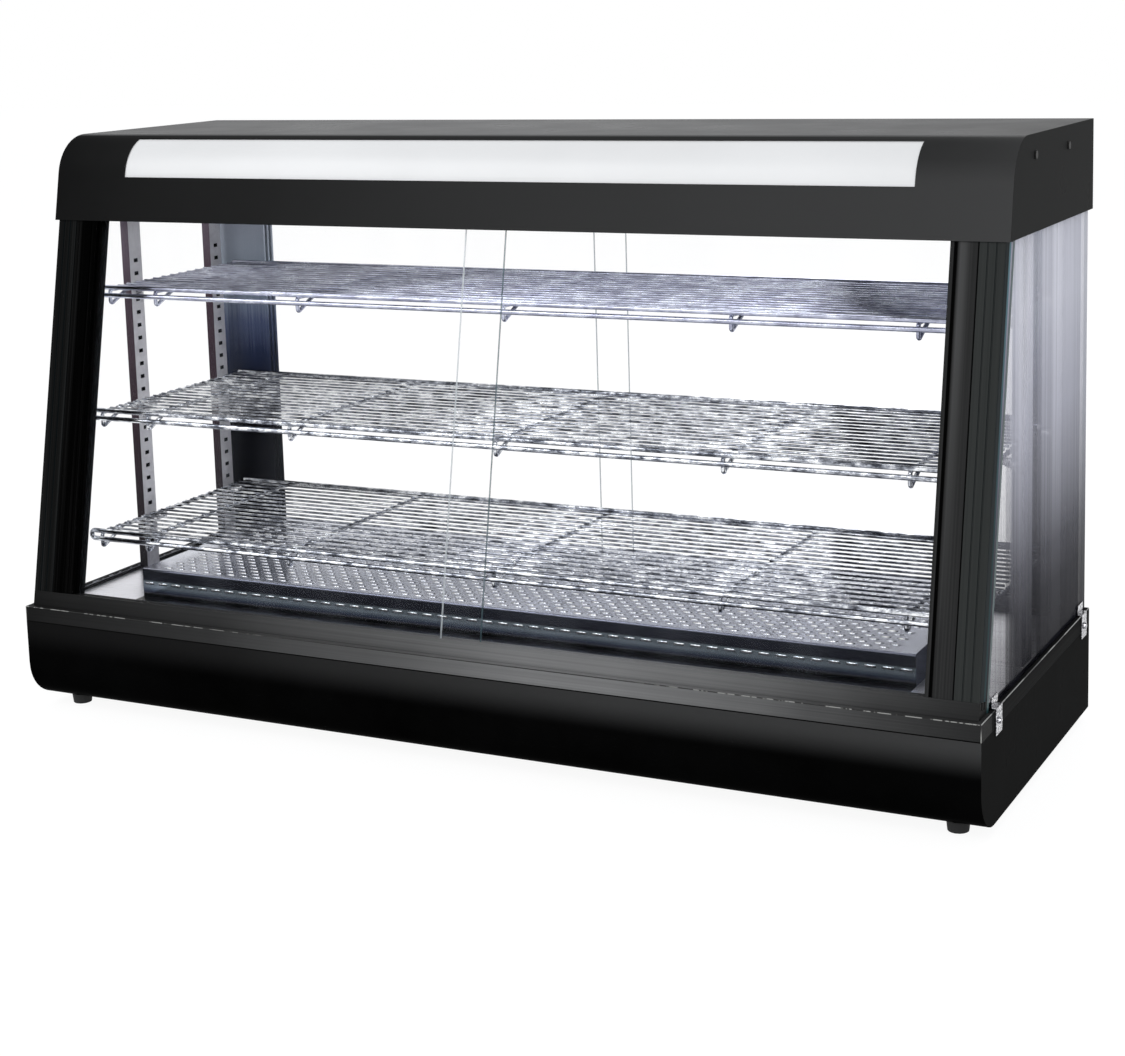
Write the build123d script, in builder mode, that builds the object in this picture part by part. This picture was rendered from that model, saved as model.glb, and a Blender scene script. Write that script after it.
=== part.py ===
from build123d import *
from math import cos, floor, hypot, pi, radians, sin, tan
import os

os.makedirs("parts", exist_ok=True)

# A heated counter-top display case. X runs across it, the front faces -Y, Z is up,
# and the origin is on the counter under the middle of the case. All sizes are in mm.

# Overall sizes
case_width = 1200.0
case_depth = 450.0
case_height = 700.0
foot_height = 12.0
base_height = 132.0
hood_height = 102.0
sheet = 1.5
fit_gap = 0.3
screw_sides = 8

half_width = case_width / 2
hood_bottom = case_height - hood_height
rear_y = case_depth / 2
front_y = -rear_y

# Base casing and the rails on it
nose_radius = 48.0
rail_height = 19.0
rail_depth = 38.0
rail_wall = 2.0
ledge_width = 10.0
floor_drop = 4.5
glass = 4.0
side_glass_inset = 5.0
glass_seat_depth = 10.0

rail_foot = base_height - rail_height
floor_top = base_height - floor_drop
floor_bottom = floor_top - sheet
side_glass_outer = half_width - side_glass_inset
side_glass_inner = side_glass_outer - glass
side_rail_inner = side_glass_inner - fit_gap - rail_wall
side_rail_width = half_width - side_rail_inner
ledge_inner = side_rail_inner - ledge_width
front_rail_back = front_y + rail_depth
rear_rail_front = rear_y - rail_depth

# Leaning front frame
lean = radians(11.52)
frame_setback = 9.0
frame_depth = 26.0
post_width = 27.0
post_wall = 2.0
jamb_width = 30.0
sill_rise = 18.0
sill_groove = 8.0
head_groove = 14.0
head_cover = 2.4
ceiling_lift = 27.0
pane_gap = 0.5
first_groove = 5.0
groove_pitch = 9.0
jamb_groove = 10.0
pane_bite = 6.0
pane_lift = 0.3
pane_head_bite = 8.0
front_overlap = 46.0
reeding_width = 1.2
reeding_depth = 0.6
bead_inset = 4.4
bead_width = 2.4
bead_depth = 1.5

lean_sin = sin(lean)
lean_cos = cos(lean)
lean_tan = tan(lean)
frame_foot_y = front_y + frame_setback
groove_width = glass + 2 * pane_gap
post_inner = side_glass_outer - post_width
jamb_inner = post_inner - jamb_width
ceiling_z = hood_bottom + ceiling_lift
head_foot = (hood_bottom + head_cover - base_height) / lean_cos
head_top = (ceiling_z - base_height) / lean_cos


def section_at(x):
    """Plane across the leaning frame: local x runs inwards, local y runs up the slope."""
    return Plane(origin=(x, frame_foot_y, base_height), x_dir=(0, lean_cos, -lean_sin), z_dir=(1, 0, 0))


def across_at(rise):
    """Plane square to the leaning frame, so far up its slope: local x is X, local y runs inwards."""
    start = (0, frame_foot_y + rise * lean_sin, base_height + rise * lean_cos)
    return Plane(origin=start, x_dir=(1, 0, 0), z_dir=(0, lean_sin, lean_cos))


def lean_y(z, inwards=0.0):
    """Y of the leaning frame's face at height z, moved inwards square to the face."""
    return frame_foot_y + (z - base_height) * lean_tan + inwards / lean_cos


def groove_at(number):
    """Distance from the frame's face to the middle of a glass groove; 0 is the outer one."""
    return first_groove + groove_width / 2 + number * groove_pitch


# Base shell: a folded tray with a rounded nose, an open back and a returned lip round its top
lip_spare = 2.0
with BuildPart() as base_shell:
    with BuildSketch(Plane.YZ.offset(-half_width)) as side:
        with BuildLine():
            Polyline(
                (front_y, foot_height),
                (rear_y, foot_height),
                (rear_y, rail_foot),
                (front_y, rail_foot),
                close=True,
            )
        make_face()
        fillet(side.vertices().group_by(Axis.X)[0].sort_by(Axis.Y)[0], nose_radius)
    extrude(amount=case_width)
    with BuildSketch(Plane.YZ.offset(sheet - half_width)) as inside:
        with BuildLine():
            Polyline(
                (front_y + sheet, foot_height + sheet),
                (rear_y, foot_height + sheet),
                (rear_y, rail_foot - sheet),
                (front_y + sheet, rail_foot - sheet),
                close=True,
            )
        make_face()
        fillet(inside.vertices().group_by(Axis.X)[0].sort_by(Axis.Y)[0], nose_radius - sheet)
    extrude(amount=case_width - 2 * sheet, mode=Mode.SUBTRACT)
    with BuildSketch(Plane.XY.offset(rail_foot)):
        Rectangle(2 * (ledge_inner - lip_spare), 2 * (rear_rail_front - ledge_width - lip_spare))
    extrude(amount=-sheet, mode=Mode.SUBTRACT)
base_shell.part.label = "base_shell"
export_step(base_shell.part, "parts/base_shell.step")

# Front rail: a channel, open below, that closes the casing's front edge; its ledge carries the floor
end_cap = 3.0
with BuildPart() as front_rail:
    with BuildSketch(Plane.XY.offset(rail_foot)):
        with Locations((0, front_y + rail_depth / 2)):
            Rectangle(case_width, rail_depth)
    extrude(amount=rail_height)
    with BuildSketch(Plane.XY.offset(rail_foot)):
        with Locations((0, front_rail_back + ledge_width / 2)):
            Rectangle(2 * ledge_inner, ledge_width)
    extrude(amount=floor_bottom - rail_foot)
    with BuildSketch(Plane.XY.offset(rail_foot)):
        with Locations((0, front_y + rail_depth / 2)):
            Rectangle(case_width - 2 * end_cap, rail_depth - 2 * rail_wall)
    extrude(amount=rail_height - rail_wall, mode=Mode.SUBTRACT)
    top_edge = front_rail.edges().filter_by(Axis.X).group_by(Axis.Z)[-1].sort_by(Axis.Y)[0]
    fillet(top_edge, radius=rail_wall / 2)
front_rail.part.label = "front_rail"
export_step(front_rail.part, "parts/front_rail.step")

# Rear rail: the same channel, between the side rails
with BuildPart() as rear_rail:
    with BuildSketch(Plane.XY.offset(rail_foot)):
        with Locations((0, rear_y - rail_depth / 2)):
            Rectangle(2 * side_rail_inner, rail_depth)
    extrude(amount=rail_height)
    with BuildSketch(Plane.XY.offset(rail_foot)):
        with Locations((0, rear_rail_front - ledge_width / 2)):
            Rectangle(2 * ledge_inner, ledge_width)
    extrude(amount=floor_bottom - rail_foot)
    with BuildSketch(Plane.XY.offset(rail_foot)):
        with Locations((0, rear_y - rail_depth / 2)):
            Rectangle(2 * (side_rail_inner - end_cap), rail_depth - 2 * rail_wall)
    extrude(amount=rail_height - rail_wall, mode=Mode.SUBTRACT)
rear_rail.part.label = "rear_rail"
export_step(rear_rail.part, "parts/rear_rail.step")

# Side rails: each holds its side glass in a groove and carries the floor on a ledge
glass_rear_gap = 3.0
side_glass_back = rear_y - glass_rear_gap
for side_name, mirrored in (("left", -1), ("right", 1)):
    with BuildPart() as side_rail:
        with BuildSketch(Plane.XZ.offset(-front_rail_back)):
            with Locations((mirrored * (half_width - side_rail_width / 2), rail_foot + rail_height / 2)):
                Rectangle(side_rail_width, rail_height)
        extrude(amount=-(rear_y - front_rail_back))
        with BuildSketch(Plane.XZ.offset(-front_rail_back)):
            with Locations((mirrored * (side_rail_inner - ledge_width / 2), (rail_foot + floor_bottom) / 2)):
                Rectangle(ledge_width, floor_bottom - rail_foot)
        extrude(amount=-(rear_rail_front - front_rail_back))
        with BuildSketch(Plane.XZ.offset(-front_rail_back)):
            with Locations((mirrored * (side_glass_inner + glass / 2), base_height - glass_seat_depth / 2)):
                Rectangle(glass + 2 * fit_gap, glass_seat_depth)
        extrude(amount=-(side_glass_back + fit_gap - front_rail_back), mode=Mode.SUBTRACT)
    side_rail.part.label = "side_rail_" + side_name
    export_step(side_rail.part, f"parts/side_rail_{side_name}.step")

# Floor of the cabinet, lying on the rails' ledges
with BuildPart() as floor_panel:
    with BuildSketch(Plane.XY.offset(floor_bottom)):
        Rectangle(2 * (side_rail_inner - fit_gap), 2 * (rear_rail_front - fit_gap))
    extrude(amount=sheet)
floor_panel.part.label = "floor_panel"
export_step(floor_panel.part, "parts/floor_panel.step")

# Rubber feet
foot_radius = 12.5
foot_sides = 16
foot_draft = 6.0
foot_inset_x = 38.0
foot_inset_y = 50.0
foot_recess_radius = 5.0
foot_recess_depth = 6.0
foot_span_x = case_width - 2 * foot_inset_x
foot_span_y = case_depth - 2 * foot_inset_y
with BuildPart() as feet:
    with BuildSketch(Plane.XY.offset(foot_height)):
        with GridLocations(foot_span_x, foot_span_y, 2, 2):
            RegularPolygon(foot_radius, foot_sides)
    extrude(amount=-foot_height, taper=foot_draft)
    with BuildSketch(Plane.XY):
        with GridLocations(foot_span_x, foot_span_y, 2, 2):
            RegularPolygon(foot_recess_radius, screw_sides)
    extrude(amount=foot_recess_depth, mode=Mode.SUBTRACT)
feet.part.label = "feet"
export_step(feet.part, "parts/feet.step")

# Control panel: a pan set back under the rear rail, with vents and cut-outs for the controls
knob_height = 21.0
knob_lift = 0.6
knob_shelter = 3.9
panel_flange = 12.0
gland_inset = 80.0
thermostat_inset = 180.0
power_switch_inset = 255.0
light_switch_inset = 295.0
bush_radius = 5.0
switch_width = 13.0
switch_length = 19.0
gland_radius = 8.0
vent_count = 12
vent_pitch = 15.0
vent_width = 4.0
vent_length = 40.0
vent_x = 250.0

panel_back = rear_y - knob_height - knob_lift - knob_shelter
panel_inside = panel_back - sheet
panel_foot = foot_height + sheet
panel_head = rail_foot - sheet
control_z = (panel_foot + panel_head) / 2
gland_x = gland_inset - half_width
thermostat_x = thermostat_inset - half_width
power_switch_x = power_switch_inset - half_width
light_switch_x = light_switch_inset - half_width
with BuildPart() as base_rear_panel:
    with BuildSketch(Plane.XZ.offset(-panel_back)):
        with Locations((0, control_z)):
            Rectangle(case_width - 2 * sheet, panel_head - panel_foot)
    extrude(amount=sheet + panel_flange)
    with BuildSketch(Plane.XZ.offset(-panel_inside)):
        with Locations((0, control_z)):
            Rectangle(case_width - 4 * sheet, panel_head - panel_foot - 2 * sheet)
    extrude(amount=panel_flange, mode=Mode.SUBTRACT)
    with BuildSketch(Plane.XZ.offset(-panel_back)):
        with Locations((thermostat_x, control_z)):
            Circle(bush_radius + fit_gap / 2)
        with Locations((power_switch_x, control_z), (light_switch_x, control_z)):
            Rectangle(switch_width + fit_gap, switch_length + fit_gap)
        with Locations((gland_x, control_z)):
            RegularPolygon(gland_radius + fit_gap / 2, screw_sides)
        with Locations((vent_x, control_z)):
            with GridLocations(vent_pitch, vent_length, vent_count, 1):
                Rectangle(vent_width, vent_length)
    extrude(amount=sheet, mode=Mode.SUBTRACT)
base_rear_panel.part.label = "base_rear_panel"
export_step(base_rear_panel.part, "parts/base_rear_panel.step")

# Thermostat: body and threaded bush behind the panel, spindle through the bush, knob on the spindle
thermostat_size = 40.0
thermostat_depth = 30.0
bush_length = 4.5
spindle_radius = 3.0
spindle_gap = 0.08
spindle_inside = 12.0
spindle_length = 16.0
with BuildPart() as thermostat_body:
    with BuildSketch(Plane.XZ.offset(-panel_inside)):
        with Locations((thermostat_x, control_z)):
            Rectangle(thermostat_size, thermostat_size)
    extrude(amount=thermostat_depth)
    with BuildSketch(Plane.XZ.offset(-(panel_back + bush_length))):
        with Locations((thermostat_x, control_z)):
            Circle(bush_radius)
    extrude(amount=bush_length + sheet)
    with BuildSketch(Plane.XZ.offset(-(panel_back + bush_length))):
        with Locations((thermostat_x, control_z)):
            Circle(spindle_radius + spindle_gap)
    extrude(amount=bush_length + sheet + spindle_inside + fit_gap, mode=Mode.SUBTRACT)
thermostat_body.part.label = "thermostat_body"
export_step(thermostat_body.part, "parts/thermostat_body.step")

with BuildPart() as thermostat_spindle:
    with BuildSketch(Plane.XZ.offset(-(panel_back + spindle_length))):
        with Locations((thermostat_x, control_z)):
            Circle(spindle_radius)
    extrude(amount=spindle_length + sheet + spindle_inside)
thermostat_spindle.part.label = "thermostat_spindle"
export_step(thermostat_spindle.part, "parts/thermostat_spindle.step")

knob_radius = 19.0
knob_sides = 20
knob_skirt = 6.0
knob_grip_width = 12.0
knob_grip_length = 34.0
knob_recess_radius = 8.0
knob_edge = 1.0
knob_grip_corner = 3.5
pointer_width = 1.6
pointer_depth = 0.6
knob_foot_y = panel_back + knob_lift
with BuildPart() as thermostat_knob:
    with BuildSketch(Plane.XZ.offset(-knob_foot_y)):
        with Locations((thermostat_x, control_z)):
            RegularPolygon(knob_radius, knob_sides)
    extrude(amount=-knob_skirt)
    with BuildSketch(Plane.XZ.offset(-knob_foot_y)) as grip:
        with Locations((thermostat_x, control_z)):
            Rectangle(knob_grip_width, knob_grip_length)
        chamfer(grip.vertices(), length=knob_grip_corner)
    extrude(amount=-knob_height)
    chamfer(thermostat_knob.faces().sort_by(Axis.Y)[-1].edges(), length=knob_edge)
    with BuildSketch(Plane.XZ.offset(-(knob_foot_y + knob_height))):
        with Locations((thermostat_x, control_z + knob_grip_length / 4)):
            Rectangle(pointer_width, knob_grip_length / 2 - 2 * knob_edge)
    extrude(amount=pointer_depth, mode=Mode.SUBTRACT)
    with BuildSketch(Plane.XZ.offset(-knob_foot_y)):
        with Locations((thermostat_x, control_z)):
            RegularPolygon(knob_recess_radius, screw_sides)
    extrude(amount=-(bush_length + fit_gap), mode=Mode.SUBTRACT)
    with BuildSketch(Plane.XZ.offset(-knob_foot_y)):
        with Locations((thermostat_x, control_z)):
            Circle(spindle_radius)
    extrude(amount=-(spindle_length - knob_lift), mode=Mode.SUBTRACT)
thermostat_knob.part.label = "thermostat_knob"
export_step(thermostat_knob.part, "parts/thermostat_knob.step")

# Rocker switches: each rocker turns on two stub pins in the side walls of its body
bezel = 1.5
switch_depth = 16.0
rocker_width = 10.4
rocker_cheek_gap = 0.3
rocker_half = 7.6
rocker_crown = 4.6
rocker_waist = 3.5
rocker_heel = 1.2
rocker_heel_half = 2.4
rocker_well_spare = 0.9
rocker_swing = 1.6
pivot_setback = 3.5
pivot_radius = 1.2
pivot_gap = 0.05
pivot_length = 0.8
rocker_tilt = radians(8.0)
bezel_back = panel_back + bezel
pivot_y = bezel_back - pivot_setback
well_width = rocker_width + 2 * rocker_cheek_gap
well_depth = pivot_setback + 2 * rocker_heel + rocker_swing
for switch_name, switch_x in (("power", power_switch_x), ("light", light_switch_x)):
    with BuildPart() as switch_body:
        with BuildSketch(Plane.XZ.offset(-panel_back)):
            with Locations((switch_x, control_z)):
                Rectangle(switch_width + 2 * bezel, switch_length + 2 * bezel)
        extrude(amount=-bezel)
        with BuildSketch(Plane.XZ.offset(-panel_back)):
            with Locations((switch_x, control_z)):
                Rectangle(switch_width, switch_length)
        extrude(amount=switch_depth)
        with BuildSketch(Plane.XZ.offset(-bezel_back)):
            with Locations((switch_x, control_z)):
                Rectangle(well_width, 2 * (rocker_half + rocker_well_spare))
        extrude(amount=well_depth, mode=Mode.SUBTRACT)
        with BuildSketch(Plane.YZ.offset(switch_x - well_width / 2 - pivot_length)):
            with Locations((pivot_y, control_z)):
                Circle(pivot_radius + pivot_gap)
        extrude(amount=well_width + 2 * pivot_length, mode=Mode.SUBTRACT)
    switch_body.part.label = switch_name + "_switch_body"
    export_step(switch_body.part, f"parts/{switch_name}_switch_body.step")

    tilted = Plane(
        origin=(switch_x - rocker_width / 2, pivot_y, control_z),
        x_dir=(0, cos(rocker_tilt), -sin(rocker_tilt)),
        z_dir=(1, 0, 0),
    )
    with BuildPart() as rocker:
        with BuildSketch(tilted):
            with BuildLine():
                Polyline(
                    (rocker_waist, 0),
                    (rocker_crown, rocker_half),
                    (0, rocker_half),
                    (-rocker_heel, rocker_heel_half),
                    (-rocker_heel, -rocker_heel_half),
                    (0, -rocker_half),
                    (rocker_crown, -rocker_half),
                    close=True,
                )
            make_face()
        extrude(amount=rocker_width)
        with BuildSketch(tilted.offset(-rocker_cheek_gap - pivot_length / 2)):
            Circle(pivot_radius)
        extrude(amount=rocker_width + 2 * rocker_cheek_gap + pivot_length)
    rocker.part.label = switch_name + "_rocker"
    export_step(rocker.part, f"parts/{switch_name}_rocker.step")

# Cable gland, clamped through the control panel, with the bore for the supply lead
gland_bore = 4.0
gland_flange_radius = 12.0
gland_flange = 4.0
gland_nose_radius = 9.0
gland_nose = 12.0
gland_tip_radius = 7.0
gland_nut_radius = 12.0
gland_nut = 5.0
with BuildPart() as cable_gland:
    with BuildSketch(Plane.XZ.offset(-(panel_inside - gland_nut))):
        with Locations((gland_x, control_z)):
            RegularPolygon(gland_nut_radius, 6)
    extrude(amount=-gland_nut)
    with BuildSketch(Plane.XZ.offset(-panel_inside)):
        with Locations((gland_x, control_z)):
            RegularPolygon(gland_radius, screw_sides)
    extrude(amount=-sheet)
    with BuildSketch(Plane.XZ.offset(-panel_back)):
        with Locations((gland_x, control_z)):
            RegularPolygon(gland_flange_radius, 6)
    extrude(amount=-gland_flange)
    with BuildSketch(Plane.XZ.offset(-(panel_back + gland_flange))):
        with Locations((gland_x, control_z)):
            RegularPolygon(gland_nose_radius, screw_sides)
    with BuildSketch(Plane.XZ.offset(-(panel_back + gland_flange + gland_nose))):
        with Locations((gland_x, control_z)):
            RegularPolygon(gland_tip_radius, screw_sides)
    loft(ruled=True)
    with BuildSketch(Plane.XZ.offset(-(panel_inside - gland_nut))):
        with Locations((gland_x, control_z)):
            Circle(gland_bore)
    extrude(amount=-(gland_nut + sheet + gland_flange + gland_nose), mode=Mode.SUBTRACT)
cable_gland.part.label = "cable_gland"
export_step(cable_gland.part, "parts/cable_gland.step")

# Terminal block on the bottom of the casing, beside the gland
block_length = 60.0
block_width = 22.0
block_height = 16.0
block_gap = 68.0
block_edge = 3.0
block_y = panel_inside - block_gap
with BuildPart() as terminal_block:
    with BuildSketch(Plane.XY.offset(foot_height + sheet)):
        with Locations((gland_x, block_y)):
            Rectangle(block_length, block_width)
    extrude(amount=block_height)
    chamfer(terminal_block.edges().filter_by(Axis.X).group_by(Axis.Z)[-1], length=block_edge)
terminal_block.part.label = "terminal_block"
export_step(terminal_block.part, "parts/terminal_block.step")

# Front sill: one extrusion across the case, with the lower grooves of both front doors
with BuildPart() as front_sill:
    with BuildSketch(section_at(-side_glass_outer)):
        with BuildLine():
            Polyline(
                (0, 0),
                (0, sill_rise),
                (frame_depth, sill_rise),
                (frame_depth, frame_depth * lean_tan),
                close=True,
            )
        make_face()
        with Locations(*[(groove_at(number), sill_rise - sill_groove / 2) for number in (0, 1)]):
            Rectangle(groove_width, sill_groove, mode=Mode.SUBTRACT)
    extrude(amount=2 * side_glass_outer)
front_sill.part.label = "front_sill"
export_step(front_sill.part, "parts/front_sill.step")

# Front head: the upper twin of the sill, cut level under the ceiling
with BuildPart() as front_head:
    with BuildSketch(section_at(-side_glass_outer)):
        with BuildLine():
            Polyline(
                (0, head_foot),
                (0, head_top),
                (frame_depth, head_top + frame_depth * lean_tan),
                (frame_depth, head_foot),
                close=True,
            )
        make_face()
        with Locations(*[(groove_at(number), head_foot + head_groove / 2) for number in (0, 1)]):
            Rectangle(groove_width, head_groove, mode=Mode.SUBTRACT)
    extrude(amount=2 * side_glass_outer)
front_head.part.label = "front_head"
export_step(front_head.part, "parts/front_head.step")

# Front corner posts and the door jambs beside them, between sill and head
frame_length = head_foot - sill_rise
for side_name, mirrored in (("left", -1), ("right", 1)):
    with BuildPart() as front_post:
        with BuildSketch(across_at(sill_rise)):
            with Locations((mirrored * (side_glass_outer - post_width / 2), frame_depth / 2)):
                Rectangle(post_width, frame_depth)
                Rectangle(post_width - 2 * post_wall, frame_depth - 2 * post_wall, mode=Mode.SUBTRACT)
            with Locations((mirrored * (side_glass_outer - post_width / 2), reeding_depth / 2)):
                with GridLocations(post_width / 3, reeding_depth, 2, 1):
                    Rectangle(reeding_width, reeding_depth, mode=Mode.SUBTRACT)
        extrude(amount=frame_length)
    front_post.part.label = "front_post_" + side_name
    export_step(front_post.part, f"parts/front_post_{side_name}.step")

    with BuildPart() as front_jamb:
        with BuildSketch(across_at(sill_rise)):
            with Locations((mirrored * (post_inner - jamb_width / 2), frame_depth / 2)):
                Rectangle(jamb_width, frame_depth)
            for number in (0, 1):
                with Locations((mirrored * (jamb_inner + jamb_groove / 2), groove_at(number))):
                    Rectangle(jamb_groove, groove_width, mode=Mode.SUBTRACT)
            with Locations((mirrored * (jamb_inner + bead_inset + bead_width / 2), bead_depth / 2)):
                Rectangle(bead_width, bead_depth, mode=Mode.SUBTRACT)
        extrude(amount=frame_length)
    front_jamb.part.label = "front_jamb_" + side_name
    export_step(front_jamb.part, f"parts/front_jamb_{side_name}.step")

# Front sliding doors: the right one runs in the outer groove
front_reach = jamb_inner + pane_bite
front_door_width = front_reach + front_overlap / 2
front_door_foot = sill_rise - sill_groove + pane_lift
front_door_head = head_foot + pane_head_bite
for side_name, mirrored, number in (("left", -1, 1), ("right", 1, 0)):
    with BuildPart() as front_door:
        with BuildSketch(section_at(mirrored * (front_reach - front_door_width / 2) - front_door_width / 2)):
            with Locations((groove_at(number), (front_door_foot + front_door_head) / 2)):
                Rectangle(glass, front_door_head - front_door_foot)
        extrude(amount=front_door_width)
    front_door.part.label = "front_door_" + side_name
    export_step(front_door.part, f"parts/front_door_{side_name}.step")

# Rear frame, upright: sill, head and broad posts with grooves for the rear doors
rear_frame_inset = 3.0
rear_frame_depth = 22.0
rear_sill_rise = 14.0
rear_post_width = 73.0
rear_first_groove = 4.0
rear_overlap = 40.0
rear_frame_gap = 1.0
rear_frame_half = side_rail_inner - rear_frame_gap
rear_post_inner = rear_frame_half - rear_post_width
rear_frame_back = rear_y - rear_frame_inset
rear_frame_front = rear_frame_back - rear_frame_depth
rear_sill_top = base_height + rear_sill_rise
rear_head_foot = hood_bottom + head_cover
rear_post_x = rear_frame_half - rear_post_width / 2
rear_post_y = rear_frame_back - rear_frame_depth / 2


def rear_groove_at(number):
    """Y of the middle of a rear glass groove; 0 is the one nearest the back."""
    return rear_frame_back - rear_first_groove - groove_width / 2 - number * groove_pitch


with BuildPart() as rear_sill:
    with BuildSketch(Plane.YZ.offset(-rear_frame_half)):
        with Locations((rear_frame_back - rear_frame_depth / 2, base_height + rear_sill_rise / 2)):
            Rectangle(rear_frame_depth, rear_sill_rise)
        with Locations(*[(rear_groove_at(number), rear_sill_top - sill_groove / 2) for number in (0, 1)]):
            Rectangle(groove_width, sill_groove, mode=Mode.SUBTRACT)
    extrude(amount=2 * rear_frame_half)
rear_sill.part.label = "rear_sill"
export_step(rear_sill.part, "parts/rear_sill.step")

with BuildPart() as rear_head:
    with BuildSketch(Plane.YZ.offset(-rear_frame_half)):
        with Locations((rear_frame_back - rear_frame_depth / 2, (rear_head_foot + ceiling_z) / 2)):
            Rectangle(rear_frame_depth, ceiling_z - rear_head_foot)
        with Locations(*[(rear_groove_at(number), rear_head_foot + head_groove / 2) for number in (0, 1)]):
            Rectangle(groove_width, head_groove, mode=Mode.SUBTRACT)
    extrude(amount=2 * rear_frame_half)
rear_head.part.label = "rear_head"
export_step(rear_head.part, "parts/rear_head.step")

rear_reach = rear_post_inner + pane_bite
rear_door_width = rear_reach + rear_overlap / 2
rear_door_foot = rear_sill_top - sill_groove + pane_lift
rear_door_head = rear_head_foot + pane_head_bite
rear_door_x = rear_reach - rear_door_width / 2
for side_name, mirrored, number in (("left", -1, 0), ("right", 1, 1)):
    with BuildPart() as rear_post:
        with BuildSketch(Plane.XY.offset(rear_sill_top)):
            with Locations((mirrored * rear_post_x, rear_post_y)):
                Rectangle(rear_post_width, rear_frame_depth)
            hollow_width = rear_post_width - jamb_groove - 2 * post_wall
            hollow_x = rear_frame_half - post_wall - hollow_width / 2
            with Locations((mirrored * hollow_x, rear_post_y)):
                Rectangle(hollow_width, rear_frame_depth - 2 * post_wall, mode=Mode.SUBTRACT)
            for groove in (0, 1):
                with Locations((mirrored * (rear_post_inner + jamb_groove / 2), rear_groove_at(groove))):
                    Rectangle(jamb_groove, groove_width, mode=Mode.SUBTRACT)
        extrude(amount=rear_head_foot - rear_sill_top)
    rear_post.part.label = "rear_post_" + side_name
    export_step(rear_post.part, f"parts/rear_post_{side_name}.step")

    with BuildPart() as rear_door:
        with BuildSketch(Plane.XZ.offset(-(rear_groove_at(number) + glass / 2))):
            with Locations((mirrored * rear_door_x, (rear_door_foot + rear_door_head) / 2)):
                Rectangle(rear_door_width, rear_door_head - rear_door_foot)
        extrude(amount=glass)
    rear_door.part.label = "rear_door_" + side_name
    export_step(rear_door.part, f"parts/rear_door_{side_name}.step")

# Side glass, its front edge along the leaning post, and the seal between post and glass
side_glass_setback = 33.0
side_glass_head_gap = 4.0
side_glass_top = ceiling_z - side_glass_head_gap
side_glass_foot = base_height - glass_seat_depth
for side_name, low_x in (("left", -side_glass_outer), ("right", side_glass_inner)):
    with BuildPart() as side_glass:
        with BuildSketch(Plane.YZ.offset(low_x)):
            with BuildLine():
                Polyline(
                    (lean_y(side_glass_foot, side_glass_setback), side_glass_foot),
                    (side_glass_back, side_glass_foot),
                    (side_glass_back, side_glass_top),
                    (lean_y(side_glass_top, side_glass_setback), side_glass_top),
                    close=True,
                )
            make_face()
        extrude(amount=glass)
    side_glass.part.label = "side_glass_" + side_name
    export_step(side_glass.part, f"parts/side_glass_{side_name}.step")

seal_gap = 0.1
with BuildPart() as front_seals:
    for low_x in (-side_glass_outer, side_glass_inner):
        with BuildSketch(Plane.YZ.offset(low_x)):
            with BuildLine():
                Polyline(
                    (lean_y(base_height, frame_depth + seal_gap), base_height),
                    (lean_y(base_height, side_glass_setback - seal_gap), base_height),
                    (lean_y(side_glass_top, side_glass_setback - seal_gap), side_glass_top),
                    (lean_y(side_glass_top, frame_depth + seal_gap), side_glass_top),
                    close=True,
                )
            make_face()
        extrude(amount=glass)
front_seals.part.label = "front_seals"
export_step(front_seals.part, "parts/front_seals.step")

# Chrome clips that hold the side glass to the rails, each with its screw
clip_width = 22.0
clip_plate = 1.5
clip_drop = 27.0
clip_lip = 12.0
clip_front_inset = 60.0
clip_rear_inset = 30.0
clip_screw_radius = 4.5
clip_screw_head = 2.4
clip_screw_draft = 20.0
clip_reach = half_width + clip_plate - side_glass_outer - fit_gap
clip_x = half_width + clip_plate
clip_lip_x = clip_x - clip_reach + clip_plate / 2
with BuildPart() as glass_clips:
    for mirrored in (-1, 1):
        for clip_y in (front_y + clip_front_inset, rear_y - clip_rear_inset):
            with BuildSketch(Plane.XZ.offset(-(clip_y - clip_width / 2))):
                with Locations((mirrored * (clip_x - clip_plate / 2), base_height - clip_drop / 2)):
                    Rectangle(clip_plate, clip_drop)
                with Locations((mirrored * (clip_x - clip_reach / 2), base_height + clip_plate / 2)):
                    Rectangle(clip_reach, clip_plate)
                with Locations((mirrored * clip_lip_x, base_height + clip_lip / 2)):
                    Rectangle(clip_plate, clip_lip)
            extrude(amount=-clip_width)
            with BuildSketch(Plane.YZ.offset(mirrored * clip_x)):
                with Locations((clip_y, base_height - clip_drop / 2)):
                    RegularPolygon(clip_screw_radius, screw_sides)
            extrude(amount=mirrored * clip_screw_head, taper=clip_screw_draft)
glass_clips.part.label = "glass_clips"
export_step(glass_clips.part, "parts/glass_clips.step")

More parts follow.
